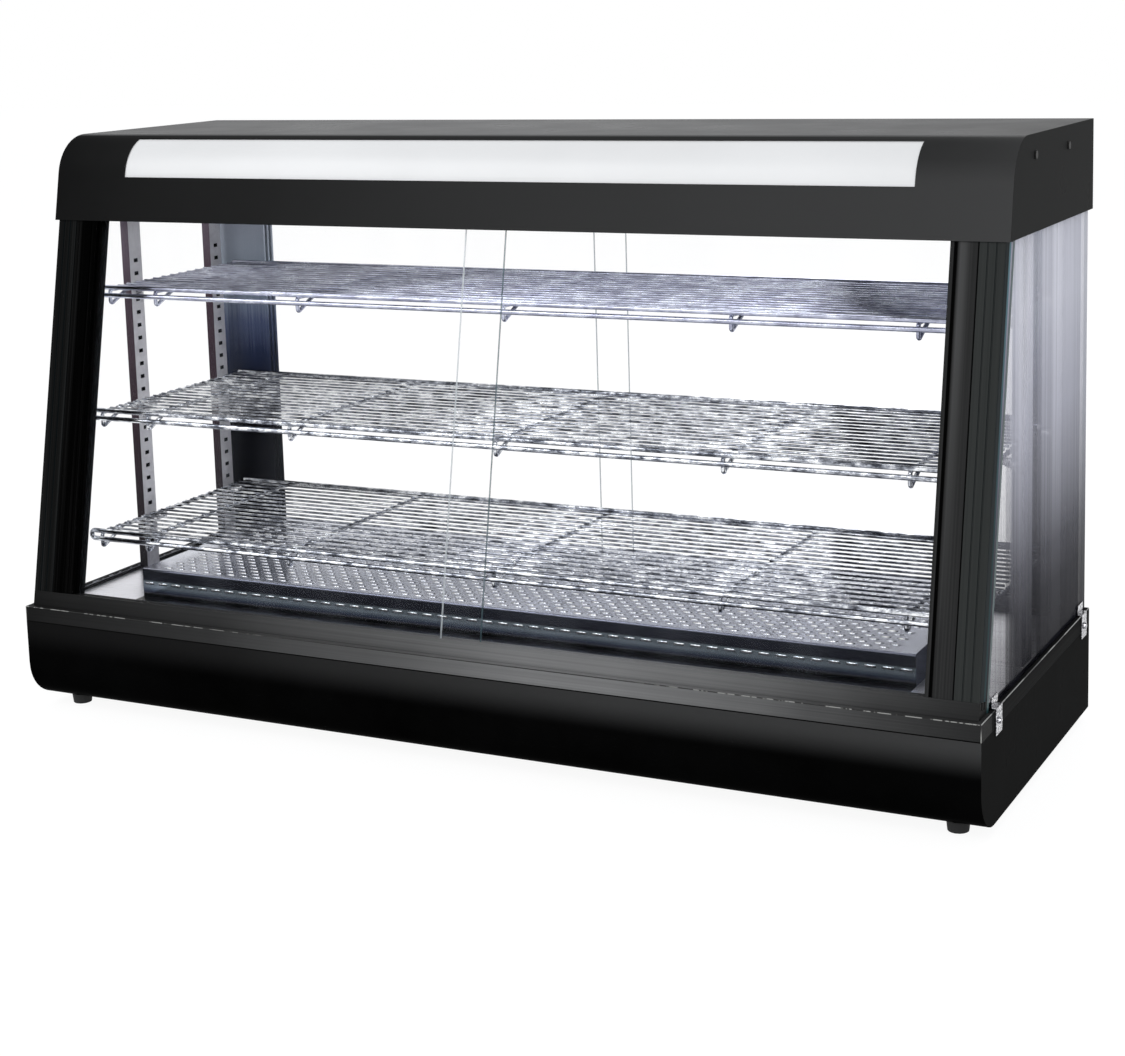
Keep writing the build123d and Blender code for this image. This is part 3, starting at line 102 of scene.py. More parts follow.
class Tree:
    """The node tree of a material or of the world, written out in short calls."""

    def __init__(self, owner: bpy.types.ID) -> None:
        """Start from the tree that its new owner brings.

        Args:
            owner: the material or world whose nodes are set.
        """
        owner.use_nodes = True
        self.nodes = owner.node_tree.nodes
        self.links = owner.node_tree.links
        self.shader = self.nodes.get("Principled BSDF")

    def link(self, source: Socket, target: Socket) -> None:
        """Join two sockets."""
        self.links.new(source, target)

    def mapped(self, kind: str, scale: Sequence[float], tilt: float = 0.0) -> Socket:
        """Place on the object in metres, through a mapping.

        Args:
            kind: the mapping's kind.
            scale: its factor along X, Y and Z.
            tilt: how far it leans back.

        Returns:
            The vector socket.
        """
        place = self.nodes.new("ShaderNodeTexCoord")
        mapping = self.nodes.new("ShaderNodeMapping")
        mapping.vector_type = kind
        mapping.inputs["Rotation"].default_value = (-tilt, 0.0, 0.0)
        mapping.inputs["Scale"].default_value = scale
        self.link(place.outputs["Object"], mapping.inputs["Vector"])
        return mapping.outputs["Vector"]

    def where(self, scale: Sequence[float] = (1.0, 1.0, 1.0)) -> Socket:
        """Place on the object in metres, stretched by a scale along X, Y and Z."""
        return self.mapped("POINT", scale)

    def grain(self, lay: Lay, along: float, across: float) -> Socket:
        """Place on the object, drawn out along a lay.

        Args:
            lay: the way that the grain runs.
            along: blobs in a metre along it.
            across: blobs in a metre across it.

        Returns:
            The vector socket.
        """
        return self.mapped("TEXTURE", lay.squeeze(along, across), lay.tilt())

    def part_of(self, vector: Socket, axis: str) -> Socket:
        """One coordinate of a vector, by its letter."""
        apart = self.nodes.new("ShaderNodeSeparateXYZ")
        self.link(vector, apart.inputs[0])
        return apart.outputs[axis]

    def at(self, axis: str) -> Socket:
        """The place along an axis, in metres."""
        return self.part_of(self.where(), axis)

    def between(self, axis: str, low: float, high: float) -> Socket:
        """How far the place is from one limit to another along an axis, from 0 to 1."""
        return self.fit(self.at(axis), (low, high))

    def over(self, axis: str, limit: float) -> Socket:
        """1 where the distance along an axis is past a limit, else 0."""
        return self.sum("GREATER_THAN", self.at(axis), limit)

    def off_middle(self) -> Socket:
        """Distance from the middle of the case's width."""
        return self.sum("ABSOLUTE", self.at("X"))

    def normal(self, kind: str, axis: str) -> Socket:
        """One coordinate of the surface's flat "True Normal" or smooth "Normal"."""
        return self.part_of(self.nodes.new("ShaderNodeNewGeometry").outputs[kind], axis)

    def faces(self, axis: str, least: float) -> Socket:
        """1 where the flat surface faces an axis, either way, by more than a share, else 0."""
        return self.sum("GREATER_THAN", self.sum("ABSOLUTE", self.normal("True Normal", axis)), least)

    def backward(self) -> Socket:
        """1 where the surface faces the back of the case, else 0."""
        return self.sum("GREATER_THAN", self.normal("True Normal", "Y"), 0.5)

    def upward(self) -> Socket:
        """How far the smooth surface faces up, from -1 to 1."""
        return self.normal("Normal", "Z")

    def end_face(self) -> Socket:
        """1 on the faces that look to the left or the right, else 0."""
        return self.faces("X", 0.7)

    def sum(self, operation: str, first, second=0.0) -> Socket:
        """A math node on two sockets or numbers.

        Args:
            operation: the node's operation.
            first: a socket or a number.
            second: a socket or a number.

        Returns:
            The value socket.
        """
        node = self.nodes.new("ShaderNodeMath")
        node.operation = operation
        for socket, value in zip(node.inputs, (first, second)):
            if isinstance(value, Socket):
                self.link(value, socket)
            else:
                socket.default_value = value
        return node.outputs[0]

    def fit(
        self, value: Socket, source: tuple, target: tuple = (0.0, 1.0), curve: str = "LINEAR",
    ) -> Socket:
        """Map one range of a value on to another, held at the ends."""
        node = self.nodes.new("ShaderNodeMapRange")
        node.interpolation_type = curve
        self.link(value, node.inputs["Value"])
        for name, number in zip(("From Min", "From Max", "To Min", "To Max"), (*source, *target)):
            node.inputs[name].default_value = number
        return node.outputs["Result"]

    def across(self, shades: Shades, stir: float = 0.02) -> Socket:
        """A grey that changes along the width of the case.

        Args:
            shades: places along X in metres and the grey at each.
            stir: how far a soft mottle pushes the greys along.

        Returns:
            The grey's socket.
        """
        mottle = self.noise(self.where(), 7.0, 3.0)
        place = self.between("X", -HALF_WIDTH, HALF_WIDTH)
        stirred = self.sum("ADD", place, self.fit(mottle, NOISE_RANGE, (-stir, stir)))
        return self.greys(stirred, [(0.5 + spot / HALF_WIDTH / 2, shade) for spot, shade in shades])

    def die_lines(self, lay: Lay) -> Socket:
        """Fine lines along a lay, as an extrusion has from its die."""
        return self.noise(self.grain(lay, 1.5, 420.0), 1.0, 3.0, 0.65)

    def streaked(self, shade: Socket, lay: Lay, share: float) -> Socket:
        """A grey with fine lines in it along a lay, by a share of its own value."""
        lines = self.fit(self.die_lines(lay), NOISE_RANGE, (1.0 - share, 1.0 + share))
        return self.sum("MULTIPLY", shade, lines)

    def noise(self, vector: Socket, scale: float, detail: float = 2.0, rough: float = 0.5) -> Socket:
        """Soft noise from 0 to 1 on a vector.

        Args:
            vector: where it is read.
            scale: how many blobs lie in a metre.
            detail: octaves of finer noise.
            rough: share that each octave adds.

        Returns:
            The factor socket.
        """
        node = self.nodes.new("ShaderNodeTexNoise")
        for name, number in (("Scale", scale), ("Detail", detail), ("Roughness", rough)):
            node.inputs[name].default_value = number
        self.link(vector, node.inputs["Vector"])
        return node.outputs["Fac"]

    def ramp(self, value: Socket, stops: Stops) -> Socket:
        """Colour by a value.

        Args:
            value: a factor from 0 to 1.
            stops: places and colours, in order.

        Returns:
            The colour socket.
        """
        node = self.nodes.new("ShaderNodeValToRGB")
        band = node.color_ramp
        while len(band.elements) < len(stops):
            band.elements.new(0.5)
        for element, (place, colour) in zip(band.elements, stops):
            element.position = place
            element.color = (*colour, 1.0)
        self.link(value, node.inputs["Fac"])
        return node.outputs["Color"]

    def greys(self, value: Socket, shades: Shades) -> Socket:
        """Grey by a value from 0 to 1."""
        return self.ramp(value, [(spot, grey(shade)) for spot, shade in shades])

    def blend(self, share: Socket, first, second) -> Socket:
        """Mix two colours, each a socket or a fixed colour, by a share."""
        node = self.nodes.new("ShaderNodeMix")
        node.data_type = "RGBA"
        self.link(share, node.inputs["Factor"])
        for socket, value in zip((s for s in node.inputs if s.type == "RGBA"), (first, second)):
            if isinstance(value, Socket):
                self.link(value, socket)
            else:
                socket.default_value = (*value, 1.0)
        return next(s for s in node.outputs if s.type == "RGBA")

    def seen(self) -> Socket:
        """1 for rays that show the background, seen straight, mirrored or through glass, else 0."""
        path = self.nodes.new("ShaderNodeLightPath").outputs
        either = self.sum("MAXIMUM", path["Is Camera Ray"], path["Is Glossy Ray"])
        return self.sum("MAXIMUM", either, path["Is Transmission Ray"])

    def glow(self, kind: str, colour: Colour, strength: float) -> Socket:
        """An evenly lit shader, by the kind of its node."""
        node = self.nodes.new(kind)
        node.inputs["Color"].default_value = (*colour, 1.0)
        node.inputs["Strength"].default_value = strength
        return node.outputs[0]

    def show(self, share: Socket, first: Socket, second: Socket, end: str) -> None:
        """Send a mix of two shaders to the output node of a name."""
        mix = self.nodes.new("ShaderNodeMixShader")
        for source, socket in zip((share, first, second), mix.inputs):
            self.link(source, socket)
        self.link(mix.outputs[0], self.nodes[end].inputs["Surface"])

    def bump(self, height: Socket, strength: float, depth: float = FINE_DEPTH) -> None:
        """Press a height into the shader's normal."""
        node = self.nodes.new("ShaderNodeBump")
        node.inputs["Strength"].default_value = strength
        node.inputs["Distance"].default_value = depth
        self.link(height, node.inputs["Height"])
        self.link(node.outputs["Normal"], self.shader.inputs["Normal"])

    def colour(self, source: Socket) -> None:
        """Feed the base colour."""
        self.link(source, self.shader.inputs["Base Color"])

    def roughness(self, value: Socket, low: float, high: float) -> None:
        """Feed the roughness with a value fitted between two limits."""
        self.link(self.fit(value, NOISE_RANGE, (low, high)), self.shader.inputs["Roughness"])

    def fixed(self, **values) -> None:
        """Set shader sockets to fixed values, by their names with _ for a space."""
        for name, value in values.items():
            self.shader.inputs[name.replace("_", " ")].default_value = value


@dataclass(frozen=True)
class Finish:
    """A surface finish. Its slot is the record's material slot."""

    name: str
    slot: str

    def material(self) -> bpy.types.Material:
        """The finish's material, made on first use."""
        found = bpy.data.materials.get(self.name)
        if found is None:
            found = bpy.data.materials.new(self.name)
            self.dress(Tree(found))
        return found

    def dress(self, tree: Tree) -> None:
        """Write the nodes. Each kind of finish has its own.

        Args:
            tree: the new material's tree.
        """
        raise NotImplementedError

    def shown(self, tree: Tree, bare: Socket) -> Socket:
        """The colour shown for the bare colour, where a kind of finish changes it by place."""
        return bare

    def put_on(self, piece: bpy.types.Object) -> None:
        """Give this finish to a piece."""
        piece.data.materials.clear()
        piece.data.materials.append(self.material())


@dataclass(frozen=True)
class Enamel(Finish):
    """Sprayed or powder-coated paint on sheet metal, with a faint orange peel."""

    tone: Colour
    worn: Colour
    roughness: float
    gloss: float
    peel: float = 0.05

    def dress(self, tree: Tree) -> None:
        """Write the paint's colour, peel and gloss."""
        mottle = tree.noise(tree.where(), 9.0, 4.0, 0.6)
        tree.colour(self.shown(tree, tree.ramp(mottle, [(0.25, self.tone), (0.75, self.worn)])))
        tree.roughness(mottle, self.roughness * 0.85, self.roughness * 1.2)
        tree.fixed(Specular_IOR_Level=self.gloss)
        tree.bump(tree.noise(tree.where(), 900.0, 2.0), self.peel)


@dataclass(frozen=True)
class CasingPaint(Enamel):
    """Black paint with painted light: its front grows lighter to the right and towards its top, and its
    ends get a painted shade of their own.
    """

    end: Colour = (0.008, 0.008, 0.0078)
    front: Shades = ()
    dark_z: float = 0.0
    light_z: float = 1.0

    def shown(self, tree: Tree, bare: Socket) -> Socket:
        """The colour with the painted light band and the painted shade on the ends in it."""
        rise = tree.fit(tree.at("Z"), (self.dark_z, self.light_z), curve="SMOOTHSTEP")
        band = tree.blend(rise, bare, tree.across(self.front))
        return tree.blend(tree.end_face(), band, self.end)


@dataclass(frozen=True)
class HoodPaint(Enamel):
    """Black paint with a painted reflection of a lighter room to the right, a painted pale reflection on
    the roof and a painted dark line on the curve before it.
    """

    front: Shades = ()
    roof: Shades = ()
    lip: Shades = ()

    def shown(self, tree: Tree, bare: Socket) -> Socket:
        """The colour with the painted reflections on the front, the lip and the roof in it."""
        up = tree.upward()
        # Painted dark line on the curved lip, painted pale reflection on the flat roof; the ends keep the
        # plain paint.
        curved = tree.fit(up, (0.1, 0.6))
        flat = tree.fit(up, (0.97, 0.998))
        face = tree.blend(curved, tree.across(self.front), tree.across(self.lip))
        top = tree.blend(flat, face, tree.across(self.roof, 0.05))
        return tree.blend(tree.end_face(), top, bare)


@dataclass(frozen=True)
class ShadedPaint(Finish):
    """Glossy paint with a painted reflection, light at the top and dark at the foot, and painted shade on
    the faces that look back.
    """

    stops: Stops
    foot_z: float
    head_z: float
    back: Colour = (0.01, 0.01, 0.0105)

    def dress(self, tree: Tree) -> None:
        """Write the painted reflection over the height and the painted shade on the back, with faint
        upright lines.
        """
        rise = tree.between("Z", self.foot_z, self.head_z)
        lines = tree.noise(tree.grain(Lay.UPRIGHT, 1.5, 300.0), 1.0, 3.0, 0.65)
        shade = tree.ramp(tree.sum("ADD", rise, tree.fit(lines, NOISE_RANGE, (-0.03, 0.03))), self.stops)
        # Faces that look to the back of the case get painted shade.
        tree.colour(tree.blend(tree.backward(), shade, self.back))
        tree.roughness(lines, 0.25, 0.4)
        tree.fixed(Specular_IOR_Level=0.004)


@dataclass(frozen=True)
class Extrusion(Finish):
    """Dark extruded metal with fine streaks along its length."""

    deep: Colour
    body: Colour
    streak: Colour
    lay: Lay
    roughness: float = 0.36
    gloss: float = 0.06

    def dress(self, tree: Tree) -> None:
        """Write die lines along the length over a soft mottle."""
        lines = tree.die_lines(self.lay)
        broad = tree.noise(tree.grain(self.lay, 0.8, 60.0), 1.0, 2.0)
        both = tree.sum("ADD", tree.sum("MULTIPLY", lines, 0.65), tree.sum("MULTIPLY", broad, 0.35))
        metal = tree.ramp(both, [(0.34, self.deep), (0.5, self.body), (0.68, self.streak)])
        tree.colour(self.shown(tree, metal))
        tree.roughness(lines, self.roughness * 0.8, self.roughness * 1.25)
        tree.fixed(Specular_IOR_Level=self.gloss)
        tree.bump(lines, 0.08, 0.0003)


@dataclass(frozen=True)
class SealedPost(Extrusion):
    """A leaning post whose outer side is painted: a dark gap of painted shade, a teal seal painted lighter
    towards the top, and a painted reflection of the side glass.
    """

    front_y: float = 0.0
    foot_z: float = 0.0
    head_z: float = 1.0
    seal: Colour = (0.004, 0.03, 0.036)
    reach: float = 20.0 * MM

    def shown(self, tree: Tree, bare: Socket) -> Socket:
        """The colour shown, by place.

        Args:
            tree: the new material's tree.
            bare: the colour of the front.

        Returns:
            The colour with the painted side in it.
        """
        lean = tree.sum("MULTIPLY", tree.sum("SUBTRACT", tree.at("Z"), self.foot_z), math.tan(LEAN))
        depth = tree.sum("SUBTRACT", tree.sum("SUBTRACT", tree.at("Y"), self.front_y), lean)
        gap = tree.fit(depth, (0.0, self.reach))
        rise = tree.between("Z", self.foot_z, self.head_z)
        # The seal grows lighter upward as painted light; the side past it is a painted reflection of the
        # glass, dark below and pale above.
        seal = tree.ramp(rise, [(0.35, self.seal), (0.95, (0.1, 0.2, 0.24))])
        edge = tree.blend(tree.fit(gap, (0.62, 0.68)), (0.001, 0.006, 0.008), seal)
        painted_glass_reflection = tree.ramp(rise, [
            (0.0, (0.006, 0.006, 0.009)), (0.3, (0.04, 0.04, 0.055)), (0.6, (0.2, 0.2, 0.25)),
            (1.0, (0.38, 0.38, 0.45)),
        ])
        side = tree.blend(tree.sum("GREATER_THAN", gap, 0.95), edge, painted_glass_reflection)
        return tree.blend(tree.end_face(), bare, side)


@dataclass(frozen=True)
class GroovedJamb(Extrusion):
    """A door jamb with its glass groove as a painted shade line and a rib beside it with a painted
    highlight that grows towards the top.
    """

    low_x: float = 0.0
    high_x: float = 1.0
    foot_z: float = 0.0
    head_z: float = 1.0
    rib: Colour = grey(0.07)

    def shown(self, tree: Tree, bare: Socket) -> Socket:
        """The colour shown, by place.

        Args:
            tree: the new material's tree.
            bare: the colour between groove and rib.

        Returns:
            The colour with the groove's painted shade, the rib's painted highlight and the dark joint to
            the post in it.
        """
        along = tree.between("X", self.low_x, self.high_x)
        light = tree.greys(along, ((0.3, 0.0), (0.38, 1.0), (0.52, 0.8), (0.66, 0.2), (0.8, 0.0)))
        dark = tree.greys(along, (
            (0.12, 0.0), (0.15, 1.0), (0.25, 1.0), (0.29, 0.0), (0.94, 0.0), (0.97, 1.0),
        ))
        rise = tree.between("Z", self.foot_z, self.head_z)
        # The rib's painted highlight grows with the height; the groove is painted shade and the joint a
        # dark line.
        ribbed = tree.blend(tree.sum("MULTIPLY", light, rise), bare, self.rib)
        return tree.blend(dark, ribbed, grey(0.001))


@dataclass(frozen=True)
class SideRail(Extrusion):
    """Dark rail with a painted highlight in bright grey on the upward faces of its inner ledge."""

    ledge_x: float = 1.0
    ledge: Colour = (0.55, 0.55, 0.6)

    def shown(self, tree: Tree, bare: Socket) -> Socket:
        """The rail's colour, with the painted highlight on the ledge in it."""
        inner = tree.sum("LESS_THAN", tree.off_middle(), self.ledge_x)
        # Painted highlight on the upward faces of the inner ledge.
        lit_ledge_top = tree.sum("MULTIPLY", inner, tree.sum("GREATER_THAN", tree.upward(), 0.8))
        return tree.blend(lit_ledge_top, bare, self.ledge)


@dataclass(frozen=True)
class SweptRail(Finish):
    """Matt extrusion across the front, with painted light strongest in its middle, painted shade on its
    ends and along the joint at its foot.
    """

    shades: Shades
    joint_z: float = 0.0
    joint: Colour = grey(0.001)
    end: Colour = grey(0.01)

    def dress(self, tree: Tree) -> None:
        """Write the painted light along the length, the die lines and the painted shade at the joint and
        the ends.
        """
        shade = tree.streaked(tree.across(self.shades), Lay.ACROSS, 0.16)
        # Painted shade along the crease at the foot, where the rail meets the base.
        front = tree.blend(tree.over("Z", self.joint_z), self.joint, shade)
        tree.colour(tree.blend(tree.end_face(), front, self.end))
        lines = tree.die_lines(Lay.ACROSS)
        tree.roughness(lines, 0.45, 0.6)
        tree.fixed(Specular_IOR_Level=0.03)
        tree.bump(lines, 0.05)


@dataclass(frozen=True)
class Stainless(Finish):
    """Brushed stainless sheet with painted cloudy reflections."""

    deep: Colour
    body: Colour
    bright: Colour
    lay: Lay
    roughness: float = 0.3
    metal: float = 0.85

    def dress(self, tree: Tree) -> None:
        """Write the brushing and the painted cloudy reflections."""
        brush = tree.noise(tree.grain(self.lay, 6.0, 1500.0), 1.0, 3.0, 0.7)
        cloud = tree.noise(tree.grain(self.lay, 1.5, 9.0), 1.0, 3.0)
        both = tree.sum("ADD", tree.sum("MULTIPLY", brush, 0.45), tree.sum("MULTIPLY", cloud, 0.55))
        bare = tree.ramp(both, [(0.32, self.deep), (0.5, self.body), (0.68, self.bright)])
        tree.colour(self.shown(tree, bare))
        tree.roughness(brush, self.roughness * 0.75, self.roughness * 1.3)
        tree.fixed(Metallic=self.metal)
        tree.bump(brush, 0.1)


@dataclass(frozen=True)
class FloorSheet(Stainless):
    """Stainless floor with a painted dark reflection of the front frame before the deck."""

    dark_y: float = 0.0
    dark_x: float = 0.0
    dark: Colour = (0.003, 0.003, 0.004)

    def shown(self, tree: Tree, bare: Socket) -> Socket:
        """The steel's colour, with the painted dark reflection before the deck."""
        before = tree.sum("LESS_THAN", tree.at("Y"), self.dark_y)
        within = tree.sum("LESS_THAN", tree.off_middle(), self.dark_x)
        return tree.blend(tree.sum("MULTIPLY", before, within), bare, self.dark)


@dataclass(frozen=True)
class PressedCover(Stainless):
    """Stainless cover with painted reflections on its front, dark from the rail before it and bright in a
    band, and painted shade on its ends.
    """

    foot_z: float = 0.0
    head_z: float = 1.0
    end: Colour = (0.08, 0.1, 0.17)

    def shown(self, tree: Tree, bare: Socket) -> Socket:
        """The colour with the painted reflections on the front and the painted shade on the ends in it."""
        front = tree.ramp(tree.between("Z", self.foot_z, self.head_z), [
            (0.1, (0.002, 0.002, 0.004)), (0.14, (0.2, 0.2, 0.24)), (0.18, (0.06, 0.08, 0.16)),
            (0.28, (0.3, 0.38, 0.5)), (0.36, (0.72, 0.86, 1.0)), (0.55, (0.76, 0.9, 1.0)),
            (0.6, (0.1, 0.105, 0.15)), (0.97, (0.11, 0.12, 0.16)), (1.0, (0.3, 0.3, 0.36)),
        ])
        return tree.blend(tree.faces("X", 0.6), tree.blend(tree.faces("Y", 0.6), bare, front), self.end)


@dataclass(frozen=True)
class SlottedSteel(Finish):
    """Plated shelf standard in one steel with painted light and shade: a light inner face with painted
    shade at its foot, flanges and outer face painted lighter upward, painted shade inside its slots, and on
    the right a painted reflection of the side glass.
    """

    face_x: float
    outer_x: float
    row_y: float
    half_width: float
    wall: float = 1.2 * MM
    foot_z: float = 0.13
    head_z: float = 0.62

    def dress(self, tree: Tree) -> None:
        """Write the face, the flanges, the painted shade in the hollow and the painted glass reflection on
        the right.

        Args:
            tree: the new material's tree.
        """
        rise = tree.between("Z", self.foot_z, self.head_z)
        out = tree.off_middle()
        off = tree.sum("ABSOLUTE", tree.sum("SUBTRACT", tree.at("Y"), self.row_y))
        scuff = tree.noise(tree.where(), 60.0, 3.0, 0.6)
        light = tree.ramp(scuff, [(0.3, (0.58, 0.57, 0.6)), (0.7, (0.74, 0.73, 0.76))])
        low_light = tree.ramp(scuff, [(0.3, (0.2, 0.2, 0.22)), (0.7, (0.42, 0.42, 0.45))])
        # Painted shade darkens the face near its foot; the flanges and the outer face are painted lighter
        # towards the top.
        inner = tree.blend(tree.fit(rise, (0.0, 0.22)), low_light, light)
        flange = tree.ramp(rise, [
            (0.0, (0.006, 0.005, 0.006)), (0.35, (0.026, 0.012, 0.018)), (0.75, (0.066, 0.04, 0.055)),
            (0.95, (0.19, 0.15, 0.19)),
        ])
        outer = tree.ramp(rise, [
            (0.0, (0.05, 0.05, 0.07)), (0.4, (0.2, 0.2, 0.25)), (0.9, (0.55, 0.55, 0.62)),
        ])
        outer_limit = self.outer_x - self.wall / 4
        skin = tree.blend(tree.faces("Y", 0.6), inner, flange)
        skin = tree.blend(tree.sum("GREATER_THAN", out, outer_limit), skin, outer)
        # The channel behind the slots gets painted shade.
        behind = tree.sum("GREATER_THAN", out, self.face_x + self.wall / 4)
        before = tree.sum("LESS_THAN", out, outer_limit)
        beside = tree.sum("LESS_THAN", off, self.half_width - self.wall / 2)
        hollow_shade = tree.sum("MULTIPLY", tree.sum("MULTIPLY", behind, before), beside)
        # On the right the standards take a painted reflection of the side glass, dark at the foot and near
        # white at the top.
        glass_veil_reflection = tree.ramp(rise, [
            (0.05, (0.03, 0.03, 0.04)), (0.4, (0.6, 0.6, 0.68)), (0.8, (0.92, 0.92, 0.97)),
        ])
        skin = tree.blend(hollow_shade, skin, (0.004, 0.004, 0.005))
        tree.colour(tree.blend(tree.over("X", 0.0), skin, glass_veil_reflection))
        tree.roughness(scuff, 0.3, 0.5)
        tree.fixed(Specular_IOR_Level=0.1)


@dataclass(frozen=True)
class Chrome(Finish):
    """Bright plating, with a painted reflection of the room's dark and light broken up along the wire."""

    deep: Colour
    body: Colour
    bright: Colour
    roughness: float = 0.12
    patch: float = 55.0

    def dress(self, tree: Tree) -> None:
        """Write the painted broken reflections of thin plated wire."""
        broken = tree.noise(tree.where((0.9, 1.6, 2.0)), self.patch, 3.0, 0.7)
        tree.colour(tree.ramp(broken, [(0.36, self.deep), (0.5, self.body), (0.62, self.bright)]))
        tree.roughness(broken, self.roughness * 0.6, self.roughness * 1.5)
        tree.fixed(Metallic=1.0)
        tree.bump(tree.noise(tree.where(), 700.0, 2.0), 0.04)


@dataclass(frozen=True)
class Moulding(Finish):
    """Plastic, rubber or ceramic with a fine grain."""

    tone: Colour
    worn: Colour
    roughness: float
    grain: float = 0.15
    gloss: float = 0.45

    def dress(self, tree: Tree) -> None:
        """Write the moulded grain and a faint mottle."""
        place = tree.where()
        mottle = tree.noise(place, 35.0, 3.0)
        grain = tree.noise(place, 1800.0, 2.0)
        tree.colour(tree.ramp(mottle, [(0.35, self.tone), (0.7, self.worn)]))
        tree.roughness(grain, self.roughness * 0.85, self.roughness * 1.15)
        tree.fixed(Specular_IOR_Level=self.gloss)
        tree.bump(grain, self.grain, 0.0003)


@dataclass(frozen=True)
class Pane(Finish):
    """Clear flat glass with a stronger colour in its cut edges and faint painted reflection bands on its
    faces.
    """

    tint: Colour
    edge: Colour
    face_axis: str
    clear: float = 0.003
    banded: float = 0.01

    def dress(self, tree: Tree) -> None:
        """Write the face's painted reflection in bands, and the coloured edge.

        Args:
            tree: the new material's tree.
        """
        stretch = (14.0, 0.0, 0.25) if self.face_axis == "Y" else (0.0, 26.0, 0.35)
        bands = tree.noise(tree.where(stretch), 1.0, 1.5, 0.4)
        face = tree.faces(self.face_axis, 0.5)
        reflection_haze = tree.fit(bands, (0.42, 0.6), (self.clear, self.banded))
        tree.colour(tree.blend(face, self.edge, self.tint))
        rim = tree.sum("MULTIPLY", tree.sum("SUBTRACT", 1.0, face), 0.8)
        through = tree.sum("ADD", tree.sum("MULTIPLY", reflection_haze, face), rim)
        tree.link(through, tree.shader.inputs["Alpha"])
        tree.roughness(bands, 0.02, 0.06)
        tree.fixed(Specular_IOR_Level=0.5)


@dataclass(frozen=True)
class BandedPane(Finish):
    """Side glass with painted upright reflection bands, painted darker towards its foot, and a teal cut
    edge.
    """

    edge: Colour
    low_y: float
    high_y: float
    foot_z: float
    head_z: float
    bands: Shades

    def dress(self, tree: Tree) -> None:
        """Write the painted reflection bands and the edge.

        Args:
            tree: the new material's tree.
        """
        rise = tree.between("Z", self.foot_z, self.head_z)
        reflection_bands = tree.greys(tree.between("Y", self.low_y, self.high_y), self.bands)
        fine = tree.noise(tree.grain(Lay.UPRIGHT, 0.7, 160.0), 1.0, 2.0)
        ripple = tree.fit(fine, (0.35, 0.65), (0.85, 1.15))
        deeper = tree.fit(rise, (0.0, 0.6), (1.4, 1.0))
        reflection_haze = tree.sum("MULTIPLY", tree.sum("MULTIPLY", reflection_bands, ripple), deeper)
        face = tree.faces("X", 0.5)
        # The tone is a painted reflection, near black at the foot and pale lavender at the top.
        tone = tree.ramp(rise, [
            (0.03, (0.015, 0.015, 0.02)), (0.16, (0.05, 0.05, 0.06)), (0.25, (0.12, 0.12, 0.14)),
            (0.4, (0.38, 0.38, 0.43)), (0.55, (0.62, 0.62, 0.7)), (0.8, (0.84, 0.84, 0.92)),
        ])
        tree.colour(tree.blend(face, self.edge, tone))
        rim = tree.sum("MULTIPLY", tree.sum("SUBTRACT", 1.0, face), 0.85)
        held = tree.sum("MULTIPLY", tree.sum("MINIMUM", reflection_haze, 0.94), face)
        tree.link(tree.sum("ADD", held, rim), tree.shader.inputs["Alpha"])
        tree.roughness(fine, 0.03, 0.08)
        tree.fixed(Specular_IOR_Level=0.003)


@dataclass(frozen=True)
class BrokenEdge(Finish):
    """A thin edge line with painted highlights in dashes along its length."""

    dark: Colour
    bright: Colour
    lay: Lay
    dashes: float
    share: float = 0.5
    lit: Shades = ((0.0, 1.0),)

    def dress(self, tree: Tree) -> None:
        """Write the painted highlight dashes."""
        dash = tree.noise(tree.grain(self.lay, self.dashes, 12.0), 1.0, 2.0, 0.6)
        start = 0.62 - 0.24 * self.share
        light = tree.fit(dash, (start - 0.03, start + 0.03))
        tree.colour(tree.blend(tree.sum("MULTIPLY", light, tree.across(self.lit)), self.dark, self.bright))
        tree.roughness(dash, 0.3, 0.5)
        tree.fixed(Specular_IOR_Level=0.3)


@dataclass(frozen=True)
class Opal(Finish):
    """White sheet or lamp that glows from within."""

    tone: Colour
    glow: float

    def dress(self, tree: Tree) -> None:
        """Write an even glow with a faint cloud."""
        dim = tuple(part * 0.94 for part in self.tone)
        cloud = tree.ramp(tree.noise(tree.where(), 6.0, 2.0), [(0.3, dim), (0.7, self.tone)])
        tree.colour(cloud)
        tree.link(cloud, tree.shader.inputs["Emission Color"])
        tree.fixed(Emission_Strength=self.glow, Specular_IOR_Level=0.3, Roughness=0.3)


# The base's front greys are painted light, lighter to the right and towards its top; its end colour is a
# painted shade.
BASE_BLACK = CasingPaint(
    "base_enamel", "gloss_black", grey(0.001), grey(0.003), 0.3, 0.0003, 0.03,
    end=(0.0125, 0.0125, 0.0122), dark_z=0.072, light_z=0.108,
    front=((-0.6, 0.008), (-0.3, 0.014), (0.0, 0.032), (0.2, 0.044), (0.6, 0.05)),
)
# The hood's front, roof and lip greys are painted reflections of the room and of the light above.
HOOD_BLACK = HoodPaint(
    "hood_enamel", "gloss_black", (0.027, 0.027, 0.0265), (0.033, 0.033, 0.0325), 0.3, 0.001, 0.05,
    front=((-0.6, 0.0087), (-0.3, 0.018), (0.0, 0.0356), (0.3, 0.048), (0.6, 0.058)),
    roof=((-0.6, 0.13), (-0.2, 0.155), (0.3, 0.145), (0.6, 0.09)),
    lip=((-0.6, 0.009), (-0.45, 0.02), (0.2, 0.026), (0.5, 0.032), (0.6, 0.045)),
)
SATIN_BLACK = Enamel(
    "satin_black_coat", "satin_black", (0.008, 0.0082, 0.0085), (0.016, 0.016, 0.017), 0.45, 0.2, 0.2
)
